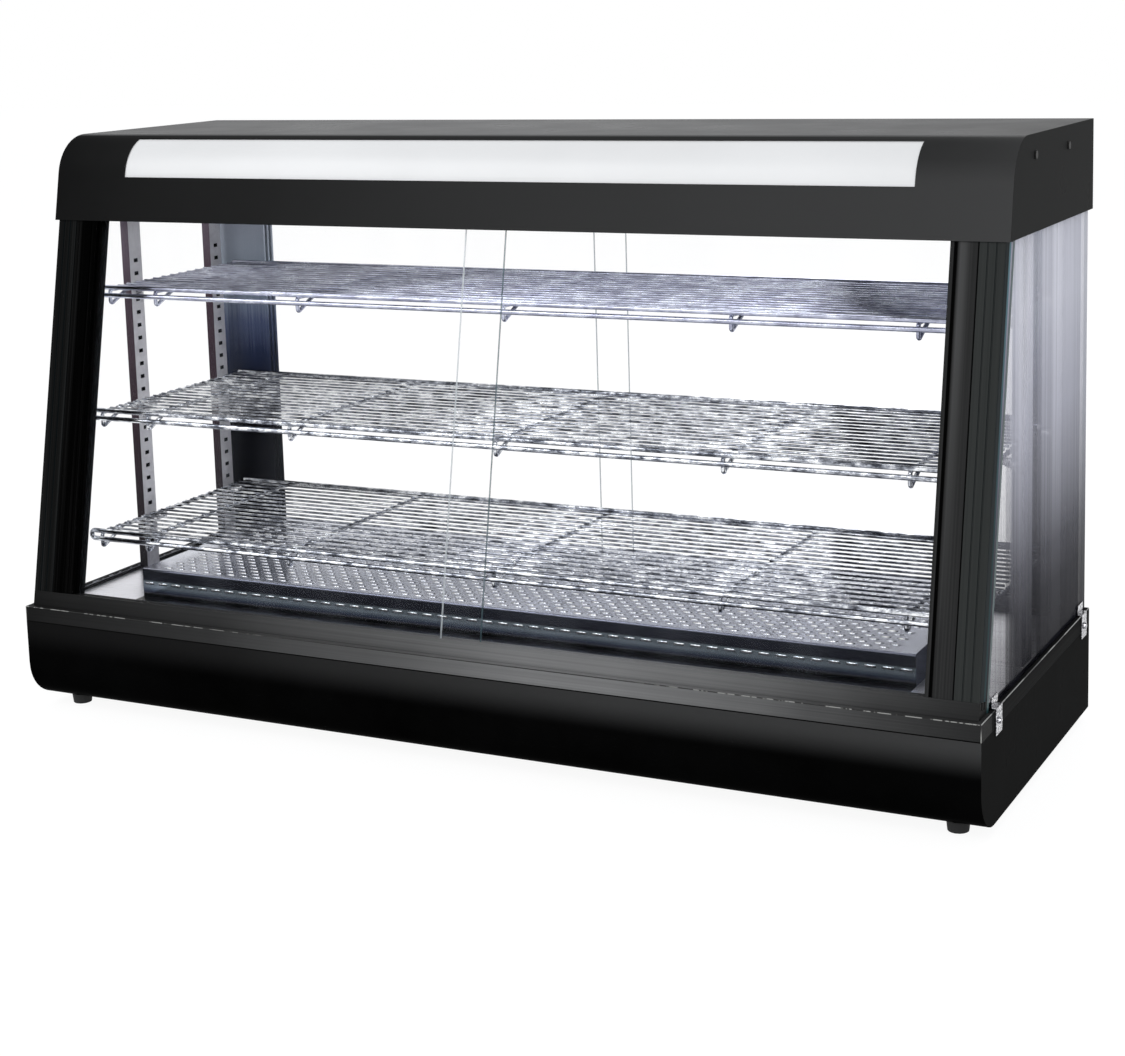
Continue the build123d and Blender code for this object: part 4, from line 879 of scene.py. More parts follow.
# The two posts are one frame grey in two shades: the left is painted shade, the right painted light.
LEFT_POST = SealedPost(
    "left_post_grey", "frame_grey", (0.0035, 0.0037, 0.0037), (0.007, 0.0073, 0.0073),
    (0.018, 0.0185, 0.0185), Lay.SLOPE, gloss=0.01,
)
RIGHT_POST = SealedPost(
    "right_post_grey", "frame_grey", (0.028, 0.03, 0.0295), (0.033, 0.0355, 0.0345),
    (0.039, 0.041, 0.04), Lay.SLOPE, gloss=0.01,
)
# The jambs are one paint too: the left painted near black as shade, the right a lighter grey as painted
# light.
LEFT_JAMB = Extrusion(
    "left_jamb_black", "satin_black", grey(0.0005), grey(0.0012), grey(0.01), Lay.SLOPE,
    gloss=0.001,
)
RIGHT_JAMB = GroovedJamb(
    "right_jamb_grey", "satin_black", grey(0.02), grey(0.028), grey(0.04), Lay.SLOPE,
    gloss=0.01, low_x=0.538, high_x=0.568, foot_z=0.2, head_z=0.5,
)
# Painted light along the front rail, sill and head, brightest in the middle.
RAIL_LIGHT = (
    (-0.6, 0.01), (-0.33, 0.035), (-0.1, 0.1), (0.1, 0.2), (0.2, 0.2), (0.37, 0.13), (0.5, 0.05),
    (0.6, 0.023),
)
RAIL_GREY = SweptRail("rail_grey", "frame_grey", RAIL_LIGHT)
FRONT_RAIL_GREY = SweptRail("front_rail_grey", "frame_grey", RAIL_LIGHT, 0.1143)
SIDE_RAIL_GREY = SideRail(
    "side_rail_grey", "frame_grey", grey(0.006), grey(0.013), grey(0.028), Lay.DEPTH,
    gloss=0.001, ledge_x=0.5905,
)
REAR_RAIL_GREY = Extrusion(
    "rear_frame_grey", "frame_grey", (0.01, 0.01, 0.011), (0.024, 0.024, 0.026), (0.05, 0.05, 0.053),
    Lay.ACROSS,
)
FLOOR_STEEL = FloorSheet(
    "floor_steel", "stainless", (0.62, 0.62, 0.66), (0.78, 0.78, 0.83), (0.9, 0.9, 0.95), Lay.ACROSS,
    dark_y=-0.118, dark_x=0.5,
)
CEILING_STEEL = Stainless(
    "ceiling_steel", "stainless", (0.3, 0.31, 0.32), (0.45, 0.46, 0.47), (0.6, 0.61, 0.62), Lay.ACROSS
)
# The top shelf's chrome is a bluer copy of the shelf chrome with a narrower range: a painted reflection.
TOP_CHROME = Chrome(
    "top_shelf_chrome", "chrome_wire", (0.28, 0.29, 0.38), (0.44, 0.46, 0.57), (0.64, 0.67, 0.78), 0.2, 30.0
)
SHELF_CHROME = Chrome(
    "shelf_chrome", "chrome_wire", (0.05, 0.055, 0.07), (0.36, 0.38, 0.43), (0.9, 0.92, 0.95)
)
CLIP_CHROME = Chrome(
    "clip_chrome", "chrome_clip", (0.02, 0.02, 0.025), (0.25, 0.25, 0.27), (0.85, 0.85, 0.88), 0.1, 250.0
)
# The slot lips are the deck's stainless painted near white, a painted highlight.
LIP_CHROME = Chrome("slot_lip_chrome", "stainless", (0.75, 0.77, 0.82), (0.88, 0.9, 0.94), grey(1.0), 0.25)
ZINC = Stainless("zinc_plate", "zinc_steel", (0.35, 0.35, 0.36), grey(0.5), (0.65, 0.65, 0.62), Lay.DEPTH)
SCREW_BLACK = Moulding("screw_black", "zinc_steel", grey(0.006), grey(0.014), 0.5, 0.1, 0.2)
SHEATH = Stainless(
    "heated_sheath", "heater_sheath", (0.08, 0.06, 0.05), (0.2, 0.17, 0.16), (0.3, 0.3, 0.36), Lay.ACROSS,
)
RUBBER = Moulding("black_rubber", "black_rubber", grey(0.005), grey(0.011), 0.75, 0.3, 0.15)
SEAL_TEAL = Moulding("seal_teal", "black_rubber", (0.003, 0.025, 0.03), (0.008, 0.05, 0.055), 0.4, 0.1, 0.3)
KNOB_PLASTIC = Moulding("knob_plastic", "black_plastic", (0.012, 0.012, 0.013), grey(0.02), 0.4)
ROCKER_RED = Moulding("rocker_red", "rocker_red", (0.42, 0.015, 0.01), (0.5, 0.02, 0.012), 0.2, 0.05)
ROCKER_BLACK = Moulding("rocker_black", "rocker_black", grey(0.012), grey(0.02), 0.2, 0.05)
WHITE_PLASTIC = Moulding("white_plastic", "white_plastic", (0.72, 0.72, 0.69), (0.78, 0.78, 0.75), 0.5)
CERAMIC = Moulding("ceramic", "ceramic", (0.62, 0.59, 0.5), (0.7, 0.67, 0.6), 0.7, 0.3, 0.3)
PRINT_WHITE = Moulding("print_white", "white_plastic", grey(0.7), grey(0.78), 0.6, 0.05)
LIGHT_SHEET = Opal("light_sheet", "light_white", grey(0.83), 0.06)
LAMP_SHEET = Opal("lamp_sheet", "light_white", grey(0.84), 4.5)
LAMP_GLOW = Opal("lamp_glow", "lamp_white", (0.95, 0.94, 0.9), 1.2)
# Painted highlight dashes along the front rail's top edge, strongest at the ends and gone in the middle.
RAIL_EDGE = BrokenEdge(
    "rail_edge", "frame_grey", grey(0.012), (0.42, 0.42, 0.4), Lay.ACROSS, 90.0, 0.5,
    ((-0.6, 0.9), (-0.4, 0.7), (-0.2, 0.0), (0.22, 0.0), (0.3, 0.7), (0.6, 1.0)),
)
# Painted highlight dashes along the side rails' top edges.
SIDE_EDGE = BrokenEdge("side_rail_edge", "frame_grey", grey(0.05), (0.4, 0.4, 0.39), Lay.DEPTH, 25.0, 0.6)
# The gasket is black rubber painted 0.3 grey as painted light: solid grey on the right, broken by black
# dashes to the left; its dark and bright colours are swapped.
GASKET = BrokenEdge(
    "glass_gasket", "black_rubber", (0.3, 0.3, 0.32), grey(0.005), Lay.DEPTH, 90.0, 0.55,
    ((-0.6, 1.0), (0.0, 1.0), (0.4, 0.0)),
)
# The two front doors differ only in their cut edges: the outer door's light edge is a painted highlight,
# the inner door's dark edge painted shade.
OUTER_PANE = Pane("outer_door_pane", "door_glass", (0.75, 0.8, 0.9), (0.85, 0.9, 0.92), "Y")
INNER_PANE = Pane("inner_door_pane", "door_glass", (0.75, 0.8, 0.9), (0.1, 0.16, 0.18), "Y")
REAR_PANE = Pane("rear_door_pane", "door_glass", (0.8, 0.84, 0.9), (0.35, 0.42, 0.46), "Y")
LEFT_PANE = Pane("left_side_pane", "side_glass", (0.7, 0.7, 0.8), (0.05, 0.2, 0.2), "X", 0.005, 0.012)
# Painted reflection on the rear posts: near black at the foot, pale blue-grey at the top.
REAR_POST_STOPS = (
    (0.0, (0.001, 0.001, 0.002)), (0.38, (0.0012, 0.0012, 0.003)), (0.52, (0.015, 0.022, 0.055)),
    (0.62, (0.08, 0.1, 0.18)), (0.75, (0.34, 0.4, 0.47)), (1.0, (0.5, 0.52, 0.6)),
)
SHELF_FINISHES = {"bottom": SHELF_CHROME, "middle": SHELF_CHROME, "top": TOP_CHROME}
BEVEL_FROM = math.radians(35.0)     # edges sharper than this are broken
WELD_REACH = 0.01 * MM              # corners nearer than this are joined
LAMPS = (                           # name, place, aim, width in metres, watts
    ("key", (-1.8, -2.4, 2.6), (0.0, 0.0, 0.3), 1.8, 36.0),
    ("fill", (1.9, -2.4, 1.8), (0.2, 0.0, 0.3), 1.6, 20.0),
    ("back", (0.4, 2.6, 2.4), (0.0, 0.0, 0.4), 2.0, 40.0),
)
# Painted reflection bands across the right side glass, by depth.
RIGHT_BANDS = (
    (0.0, 0.3), (0.19, 0.32), (0.2, 0.62), (0.31, 0.6), (0.325, 0.28), (0.495, 0.28),
    (0.51, 0.58), (0.605, 0.6), (0.62, 0.8), (0.7, 0.78), (0.72, 0.56), (1.0, 0.62),
)


def keep(node: str, finish: Finish, bevel: float = 0.0) -> bpy.types.Object:
    """Dress a node of the frame that keeps its own shape.

    Args:
        node: the node's name.
        finish: what it is coated with or made of.
        bevel: width of the broken edges, in metres; 0 leaves them sharp.

    Returns:
        The node's object.
    """
    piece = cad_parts[node]
    finish.put_on(piece)
    weld = piece.modifiers.new("weld", "WELD")
    weld.merge_threshold = WELD_REACH
    if bevel:
        edge = piece.modifiers.new("broken_edges", "BEVEL")
        edge.width = bevel
        edge.segments = 2
        edge.limit_method = "ANGLE"
        edge.angle_limit = BEVEL_FROM
        even = piece.modifiers.new("even_normals", "WEIGHTED_NORMAL")
        even.keep_sharp = False
    log.info("kept %s in %s", node, finish.name)
    return piece


@dataclass
class Mesh:
    """A mesh under construction, made of tubes, boxes and plates."""

    name: str
    bm: bmesh.types.BMesh = field(default_factory=bmesh.new)

    def tube(self, path: Sequence[Vector], radius: float, sides: int, closed: bool = False) -> None:
        """Add a round bar along a path.

        Args:
            path: points along its middle.
            radius: its radius.
            sides: facets round it.
            closed: whether its ends meet.
        """
        count = len(path)
        turn = [2 * math.pi * k / sides for k in range(sides)]
        rings = []
        side = None
        for index, point in enumerate(path):
            before = path[(index - 1) % count] if closed or index else point
            after = path[(index + 1) % count] if closed or index < count - 1 else point
            along = (after - before).normalized()
            if side is None:
                side = along.orthogonal().normalized()
            side = (side - along * side.dot(along)).normalized()
            up = along.cross(side)
            rings.append([
                self.bm.verts.new(point + radius * (math.cos(a) * side + math.sin(a) * up)) for a in turn
            ])
        pairs = list(zip(rings, rings[1:]))
        if closed:
            pairs.append((rings[-1], rings[0]))
        for low, high in pairs:
            for k in range(sides):
                face = self.bm.faces.new((low[k], low[(k + 1) % sides], high[(k + 1) % sides], high[k]))
                face.smooth = True
        if not closed:
            self.bm.faces.new(list(reversed(rings[0])))
            self.bm.faces.new(rings[-1])

    def bead(self, centre: Vector, size: Vector) -> None:
        """Add a small flattened ball, such as a spot weld.

        Args:
            centre: its middle.
            size: its half widths along X, Y and Z.
        """
        matrix = Matrix.Translation(centre) @ Matrix.Diagonal((*size, 1.0))
        made = bmesh.ops.create_uvsphere(self.bm, u_segments=8, v_segments=6, radius=1.0, matrix=matrix)
        for face in {f for v in made["verts"] for f in v.link_faces}:
            face.smooth = True

    def box(self, low: Vector, high: Vector) -> None:
        """Add a closed block between two corners."""
        matrix = Matrix.Translation((low + high) / 2) @ Matrix.Diagonal((*(high - low), 1.0))
        bmesh.ops.create_cube(self.bm, size=1.0, matrix=matrix)

    def piece(self, finish: Finish, body: str) -> bpy.types.Object:
        """Finish the mesh as a piece that rides on a body.

        Args:
            finish: its surface finish.
            body: the body that it moves with.

        Returns:
            The new object.
        """
        bmesh.ops.recalc_face_normals(self.bm, faces=self.bm.faces)
        data = bpy.data.meshes.new(self.name)
        self.bm.to_mesh(data)
        self.bm.free()
        made = bpy.data.objects.new(self.name, data)
        bpy.context.scene.collection.objects.link(made)
        finish.put_on(made)
        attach(made, body)
        log.info("built %s: %d faces", self.name, len(data.polygons))
        return made


def arc(centre: Vector, start: Vector, turned: Vector, angle: float, steps: int) -> list[Vector]:
    """Points of an arc.

    Args:
        centre: its middle.
        start: from the middle to its first point.
        turned: from the middle to the point a quarter turn on.
        angle: how far it goes round.
        steps: spans in it.

    Returns:
        The points, both ends with them.
    """
    turns = [angle * step / steps for step in range(steps + 1)]
    return [centre + math.cos(turn) * start + math.sin(turn) * turned for turn in turns]


@dataclass
class WireShelf:
    """A welded wire shelf: two front rods in one loop, a rear rod, bent braces and long wires."""

    level: str
    finish: Finish
    rod: float = 3.0 * MM
    brace: float = 2.5 * MM
    wire: float = 1.5 * MM
    pitch: float = 18.0 * MM
    spread: float = 10.0 * MM
    brace_bend: float = 4.0 * MM
    drop: float = 12.0 * MM
    drop_reach: float = 40.0 * MM
    drop_bend: float = 3.0 * MM
    weld: float = 0.5 * MM
    end_brace_inset: float = 16.0 * MM
    outer_brace_inset: float = 70.0 * MM
    end_gap: float = 1.0 * MM
    wire_weld: Vector = field(default_factory=lambda: Vector((2.2, 2.2, 1.2)) * MM)
    front_weld: Vector = field(default_factory=lambda: Vector((2.4, 1.6, 3.4)) * MM)

    def brace_path(
        self, x: float, rear_y: float, drop_y: float, brace_z: float, foot_z: float,
    ) -> list[Vector]:
        """Middle line of a brace: forward, down behind the front rods, and back up to its underside.

        Args:
            x: where the brace lies across the shelf.
            rear_y: its rear end.
            drop_y: where it goes down.
            brace_z: height of its long run.
            foot_z: height of the foot of the V.

        Returns:
            The points.
        """
        back, up = Vector((0, self.brace_bend, 0)), Vector((0, 0, self.brace_bend))
        path = [Vector((x, rear_y, brace_z))]
        path += arc(Vector((x, drop_y, brace_z)) + back - up, up, -back, math.pi / 2, 6)
        rise = Vector((0, self.drop_reach, brace_z - self.weld - foot_z))
        slant = rise.normalized()
        corner = Vector((x, drop_y, foot_z))
        half = math.acos(slant.z) / 2
        centre = corner + (slant + Vector((0, 0, 1))).normalized() * self.drop_bend / math.sin(half)
        start, turned = Vector((0, -self.drop_bend, 0)), Vector((0, 0, -self.drop_bend))
        return path + arc(centre, start, turned, math.pi - 2 * half, 8) + [corner + rise]

    def build(self) -> bpy.types.Object:
        """Build the shelf in place of its node.

        Returns:
            The shelf.
        """
        low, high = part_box("shelf_" + self.level)
        wire_z = high.z - self.rod
        low_z = wire_z - self.spread
        front_y = low.y + self.rod
        rear_y = high.y - self.rod
        brace_z = wire_z - self.wire - self.brace
        end_x = high.x - self.rod
        last_brace = high.x + self.end_gap - self.end_brace_inset
        mesh = Mesh("wire_shelf_" + self.level)
        bend = self.spread / 2
        loop = []
        for sign in (1, -1):
            centre = Vector((sign * (end_x - bend), front_y, wire_z - bend))
            loop += arc(centre, Vector((0, 0, sign * bend)), Vector((sign * bend, 0, 0)), math.pi, 10)
        mesh.tube(loop, self.rod, ROD_SIDES, closed=True)
        mesh.tube([Vector((x, rear_y, wire_z)) for x in (-last_brace, last_brace)], self.rod, ROD_SIDES)
        braces = [0.0]
        for x in (last_brace / 2, last_brace - self.outer_brace_inset, last_brace):
            braces += [x, -x]
        drop_y = front_y + self.rod + self.brace - self.weld
        for x in braces:
            path = self.brace_path(x, rear_y, drop_y, brace_z, low_z - self.drop)
            mesh.tube(path, self.brace, BRACE_SIDES)
        span = rear_y - front_y
        count = math.floor((span - 2 * (self.rod + self.wire)) / self.pitch)
        for number in range(count):
            y = (front_y + rear_y) / 2 + (number - (count - 1) / 2) * span / (count + 1)
            reach = last_brace - self.rod
            mesh.tube([Vector((x, y, wire_z)) for x in (-reach, reach)], self.wire, WIRE_SIDES)
            for x in braces:
                mesh.bead(Vector((x, y, wire_z - self.wire)), self.wire_weld)
        for x in braces:
            mesh.bead(Vector((x, drop_y - self.brace, low_z)), self.front_weld)
        shelf = mesh.piece(self.finish, "case")
        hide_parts("shelf_" + self.level)
        return shelf


@dataclass
class HeaterDeck:
    """The raised cover over the heaters: rows of pierced slots in its top, each with a raised lip."""

    low: Vector
    high: Vector
    sheet: float = 1.2 * MM
    pitch_x: float = 19.0 * MM
    pitch_y: float = 12.0 * MM
    slot_length: float = 13.0 * MM
    slot_width: float = 3.4 * MM
    margin: float = 8.0 * MM
    front_slot: float = 13.5 * MM
    front_height: float = 2.0 * MM
    front_pitch: float = 20.0 * MM
    edge_round: float = 2.4 * MM
    edge_steps: int = 6
    lip: float = 0.9 * MM
    lip_gap: float = 0.2 * MM
    sheet_mesh: Mesh = field(default_factory=lambda: Mesh("heater_deck_cover"))
    lips: Mesh = field(default_factory=lambda: Mesh("heater_deck_lips"))

    def cell(self, place: Matrix, half: tuple[float, float], slot: tuple[float, float]) -> None:
        """Add one rectangle of sheet with a round-ended slot through it.

        Args:
            place: from the cell's own plane to the frame, with the outside along +Z.
            half: half the cell's width and depth.
            slot: half the slot's straight length, and half its width.
        """
        (wide, deep), (straight, narrow) = half, slot
        slant = narrow * math.sqrt(0.5)
        inner = [
            (straight, narrow), (straight + slant, slant), (straight + narrow, 0.0),
            (straight + slant, -slant), (straight, -narrow), (-straight, -narrow),
            (-straight - slant, -slant), (-straight - narrow, 0.0), (-straight - slant, slant),
            (-straight, narrow),
        ]
        outer = [
            (straight, deep), (wide, deep), (wide, 0.0), (wide, -deep), (straight, -deep),
            (-straight, -deep), (-wide, -deep), (-wide, 0.0), (-wide, deep), (-straight, deep),
        ]
        layers = [
            [self.sheet_mesh.bm.verts.new(place @ Vector((x, y, z))) for x, y in ring]
            for ring, z in ((outer, 0.0), (inner, 0.0), (inner, -self.sheet), (outer, -self.sheet))
        ]
        for first, second in zip(layers, layers[1:]):
            for k in range(len(inner)):
                n = (k + 1) % len(inner)
                self.sheet_mesh.bm.faces.new((first[k], second[k], second[n], first[n]))

    def row(
        self, place: Matrix, half: tuple[float, float], slot: tuple[float, float], count: int, shift: float,
        side_lip: float,
    ) -> None:
        """Add a row of cells, with a raised lip at one side of each slot.

        Args:
            place: from the row's own plane to the frame.
            half: half the cell's width and depth.
            slot: half the slot's straight length, and half its width.
            count: cells in the row.
            shift: how far the row is moved along.
            side_lip: which side of the slot carries the lip, -1 or 1.
        """
        lip_y = side_lip * (slot[1] + self.lip_gap)
        for number in range(count):
            x = (number - (count - 1) / 2) * 2 * half[0] + shift
            here = place @ Matrix.Translation((x, 0.0, 0.0))
            self.cell(here, half, slot)
            ends = [here @ Vector((sign * slot[0], lip_y, 0.0)) for sign in (-1, 1)]
            self.lips.tube(ends, self.lip, LINE_SIDES)

    def plate(self, low_x: float, high_x: float, low_y: float, high_y: float) -> None:
        """Add a blank piece of the top sheet, given its limits."""
        top = self.high.z
        self.sheet_mesh.box(Vector((low_x, low_y, top - self.sheet)), Vector((high_x, high_y, top)))

    def build(self) -> None:
        """Build the deck in place of its node."""
        low, high = self.low, self.high
        middle_y = (low.y + high.y) / 2
        columns = math.floor((high.x - low.x - 2 * self.margin) / self.pitch_x) - 1
        rows = math.floor((high.y - low.y - 2 * self.margin) / self.pitch_y)
        slot = (self.slot_length / 2 - self.slot_width / 2, self.slot_width / 2)
        half = (self.pitch_x / 2, self.pitch_y / 2)
        for number in range(rows):
            y = middle_y + (number - (rows - 1) / 2) * self.pitch_y
            shift = self.pitch_x / 4 * (1 if number % 2 else -1)
            self.row(Matrix.Translation((0.0, y, high.z)), half, slot, columns, shift, -1.0)
            for sign in (-1, 1):
                ends = sorted((sign * columns * self.pitch_x / 2 + shift, sign * high.x))
                self.plate(*ends, y - half[1], y + half[1])
        used = rows * self.pitch_y / 2
        self.plate(low.x, high.x, middle_y + used, high.y)
        self.plate(low.x, high.x, low.y + self.edge_round, middle_y - used)
        self.front()
        self.walls()
        mesh = self.sheet_mesh
        bmesh.ops.remove_doubles(mesh.bm, verts=mesh.bm.verts, dist=0.005 * MM)
        # The deck's bluish stainless tones are a painted reflection of the dark room.
        tones = ((0.3, 0.32, 0.38), (0.5, 0.52, 0.6), (0.75, 0.77, 0.84))
        steel = PressedCover("deck_steel", "stainless", *tones, Lay.ACROSS, 0.14, 0.85, low.z, high.z)
        cover = mesh.piece(steel, "case")
        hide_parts("heater_deck")
        self.lips.piece(LIP_CHROME, "case")

    def front(self) -> None:
        """Add the front face with its row of slots, and the rounded edge above it."""
        low, high = self.low, self.high
        top = high.z - self.edge_round
        upright = Matrix.Rotation(math.radians(90.0), 4, "X")
        count = math.floor((high.x - low.x) / self.front_pitch)
        half = ((high.x - low.x) / count / 2, (top - low.z) / 2)
        slot = (self.front_slot / 2 - self.front_height / 2, self.front_height / 2)
        place = Matrix.Translation((0.0, low.y, (low.z + top) / 2)) @ upright
        self.row(place, half, slot, count, 0.0, 1.0)
        for inset, flip in ((0.0, 1), (self.sheet, -1)):
            radius = self.edge_round - inset
            rings = []
            for step in range(self.edge_steps + 1):
                turn = math.pi / 2 * step / self.edge_steps
                y = low.y + self.edge_round - radius * math.cos(turn)
                z = top + radius * math.sin(turn)
                rings.append([self.sheet_mesh.bm.verts.new((x, y, z)) for x in (low.x, high.x)])
            for first, second in zip(rings, rings[1:]):
                face = self.sheet_mesh.bm.faces.new((first[0], first[1], second[1], second[0])[::flip])
                face.smooth = True

    def walls(self) -> None:
        """Add the back and the two ends."""
        low, high, wall = self.low, self.high, self.sheet
        under = high.z - wall
        self.sheet_mesh.box(Vector((low.x, high.y - wall, low.z)), Vector((high.x, high.y, under)))
        for x in (low.x, high.x - wall):
            self.sheet_mesh.box(Vector((x, low.y + wall, low.z)), Vector((x + wall, high.y - wall, under)))


@dataclass
class Base:
    """The black casing, its feet, the rails on it and the cabinet's floor."""

    edge: float = 0.6 * MM
    line: float = 0.55 * MM
    sink: float = 0.35 * MM

    def build(self) -> None:
        """Dress the casing and what stands on it."""
        keep("base_shell", BASE_BLACK, self.edge)
        keep("feet", RUBBER, self.edge)
        keep("front_rail", FRONT_RAIL_GREY, self.edge)
        keep("rear_rail", REAR_RAIL_GREY, self.edge)
        keep("floor_panel", FLOOR_STEEL)
        for side in Side:
            keep("side_rail_" + side.word, SIDE_RAIL_GREY, self.edge)
        self.edges()
        HeaterDeck(*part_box("heater_deck")).build()

    def edges(self) -> None:
        """Draw the painted highlight line along the top edges of the rails."""
        low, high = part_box("front_rail")
        top = high.z - self.sink
        front = low.y + self.sink
        right = high.x - self.sink
        mesh = Mesh("front_rail_edge")
        mesh.tube([Vector((x, front, top)) for x in (-right, right)], self.line, LINE_SIDES)
        for x in (-right, right):
            mesh.tube([Vector((x, front, z)) for z in (low.z + self.line, top)], self.line, LINE_SIDES)
        mesh.piece(RAIL_EDGE, "case")
        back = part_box("side_rail_right")[1].y - self.sink
        sides = Mesh("side_rail_edges")
        for x in (-right, right):
            sides.tube([Vector((x, y, top)) for y in (front, back)], self.line, LINE_SIDES)
        sides.piece(SIDE_EDGE, "case")


@dataclass
class Frame:
    """The leaning front frame and the upright rear frame."""

    edge: float = 0.5 * MM

    def build(self) -> None:
        """Dress the sills, heads, posts and jambs."""
        for node in ("front_sill", "front_head"):
            keep(node, RAIL_GREY, self.edge)
        for node in ("rear_sill", "rear_head"):
            keep(node, REAR_RAIL_GREY, self.edge)
        keep("front_post_left", self.sealed(LEFT_POST), self.edge)
        keep("front_post_right", self.sealed(RIGHT_POST), self.edge)
        keep("front_jamb_left", LEFT_JAMB, self.edge)
        keep("front_jamb_right", RIGHT_JAMB, self.edge)
        for side in Side:
            keep("rear_post_" + side.word, self.shaded_post(), self.edge)

    def sealed(self, finish: SealedPost) -> Finish:
        """A post's finish, placed on the leaning posts."""
        low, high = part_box("front_post_right")
        return replace(finish, front_y=low.y, foot_z=low.z, head_z=high.z)

    def shaded_post(self) -> Finish:
        """The rear posts' paint, with a painted reflection of the light above and the dark below."""
        low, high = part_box("rear_post_left")
        return ShadedPaint("rear_post_paint", "frame_grey", REAR_POST_STOPS, low.z, high.z)


@dataclass
class Glazing:
    """The sliding panes, the side glass, its seals and its chrome clips."""

    edge: float = 0.3 * MM
    gasket: float = 0.8 * MM
    gasket_setback: float = 40.0 * MM

    def build(self) -> None:
        """Dress the glass and what holds it."""
        keep("front_door_left", INNER_PANE, self.edge)
        keep("front_door_right", OUTER_PANE, self.edge)
        keep("rear_door_left", REAR_PANE, self.edge)
        keep("rear_door_right", REAR_PANE, self.edge)
        keep("side_glass_left", LEFT_PANE, self.edge)
        # Only the right side glass carries the painted reflection bands.
        low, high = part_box("side_glass_right")
        limits = (low.y, high.y, low.z, high.z)
        banded = BandedPane("right_side_pane", "side_glass", (0.01, 0.09, 0.1), *limits, RIGHT_BANDS)
        keep("side_glass_right", banded, self.edge)
        keep("front_seals", SEAL_TEAL)
        keep("glass_clips", CLIP_CHROME, self.edge)
        self.gaskets(low, high)

    def gaskets(self, low: Vector, high: Vector) -> bpy.types.Object:
        """Lay a thin gasket along the inner foot of each side glass.

        Args:
            low: the right glass's low corner.
            high: its high corner.

        Returns:
            The gaskets.
        """
        rail_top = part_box("side_rail_right")[1].z
        mesh = Mesh("glass_gaskets")
        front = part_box("front_post_right")[0].y + self.gasket_setback
        for side in Side:
            x = side.value * (low.x - self.gasket)
            foot = [Vector((x, y, rail_top + self.gasket)) for y in (front, high.y)]
            mesh.tube(foot, self.gasket, LINE_SIDES)
        return mesh.piece(GASKET, "case")


@dataclass
class Fittings:
    """The slotted standards with the shelves and their clips."""

    edge: float = 0.3 * MM

    def build(self) -> None:
        """Dress the standards and clips, and build the shelves."""
        for row in ("front", "rear"):
            low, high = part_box(f"standard_{row}_right")
            middle_y, half_width = (low.y + high.y) / 2, (high.y - low.y) / 2
            name = row + "_standard_steel"
            steel = SlottedSteel(name, "standard_grey", low.x, high.x, middle_y, half_width)
            for side in Side:
                keep(f"standard_{row}_{side.word}", steel, self.edge)
        for level, finish in SHELF_FINISHES.items():
            keep("shelf_clips_" + level, CLIP_CHROME, self.edge)
            WireShelf(level, finish).build()


@dataclass
class Heaters:
    """The heating elements under the deck."""

    def build(self) -> None:
        """Dress the elements, their terminals and brackets."""
        keep("heater_front", SHEATH)
        keep("heater_rear", SHEATH)
        keep("heater_terminals", CERAMIC, 0.8 * MM)
        keep("heater_brackets", ZINC)


@dataclass
class Hood:
    """The lit hood, its back and the lamp inside."""

    edge: float = 0.6 * MM

    def build(self) -> None:
        """Dress the hood, the light sheet and the lamp gear."""
        keep("hood_shell", HOOD_BLACK, self.edge)
        keep("light_panel", LIGHT_SHEET)
        keep("hood_rear_panel", SATIN_BLACK, 0.3 * MM)
        keep("hood_screws", SCREW_BLACK, 0.3 * MM)
        keep("ceiling_panel", CEILING_STEEL)
        keep("lamp_cover", LAMP_SHEET)
        keep("lamp_tube", LAMP_GLOW)
        keep("lampholders", WHITE_PLASTIC, 0.8 * MM)
        keep("lamp_ballast", ZINC, 0.5 * MM)


@dataclass
class Controls:
    """The control panel at the back, with the thermostat, switches and gland."""

    tick_count: int = 11
    tick_length: float = 4.0 * MM
    tick_width: float = 1.0 * MM
    tick_gap: float = 3.0 * MM
    tick_proud: float = 0.12 * MM
    sweep: float = 270.0

    def build(self) -> None:
        """Dress the controls and print the dial."""
        keep("base_rear_panel", SATIN_BLACK, 0.3 * MM)
        keep("thermostat_body", KNOB_PLASTIC, 0.5 * MM)
        keep("thermostat_knob", KNOB_PLASTIC, 0.3 * MM)
        keep("thermostat_spindle", ZINC)
        for name, finish in (("power", ROCKER_RED), ("light", ROCKER_BLACK)):
            keep(name + "_switch_body", KNOB_PLASTIC, 0.3 * MM)
            keep(name + "_rocker", finish, 0.3 * MM)
        keep("cable_gland", KNOB_PLASTIC, 0.4 * MM)
        keep("terminal_block", WHITE_PLASTIC, 0.5 * MM)
        self.dial()

    def dial(self) -> bpy.types.Object:
        """Print plain marks on the panel round the knob.

        Returns:
            The marks.
        """
        low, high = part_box("thermostat_knob")
        middle = (low + high) / 2
        panel_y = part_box("base_rear_panel")[1].y
        radius = (high.x - low.x) / 2 + self.tick_gap
        mesh = Mesh("dial_marks")
        for number in range(self.tick_count):
            turn = math.radians(90.0 + self.sweep * number / (self.tick_count - 1))
            spot = Matrix.Translation((middle.x, panel_y, middle.z)) @ Matrix.Rotation(turn, 4, "Y")
            out = spot @ Matrix.Translation((radius + self.tick_length / 2, self.tick_proud / 2, 0.0))
            size = Matrix.Diagonal((self.tick_length, self.tick_proud, self.tick_width, 1.0))
            bmesh.ops.create_cube(mesh.bm, size=1.0, matrix=out @ size)
        return mesh.piece(PRINT_WHITE, "case")


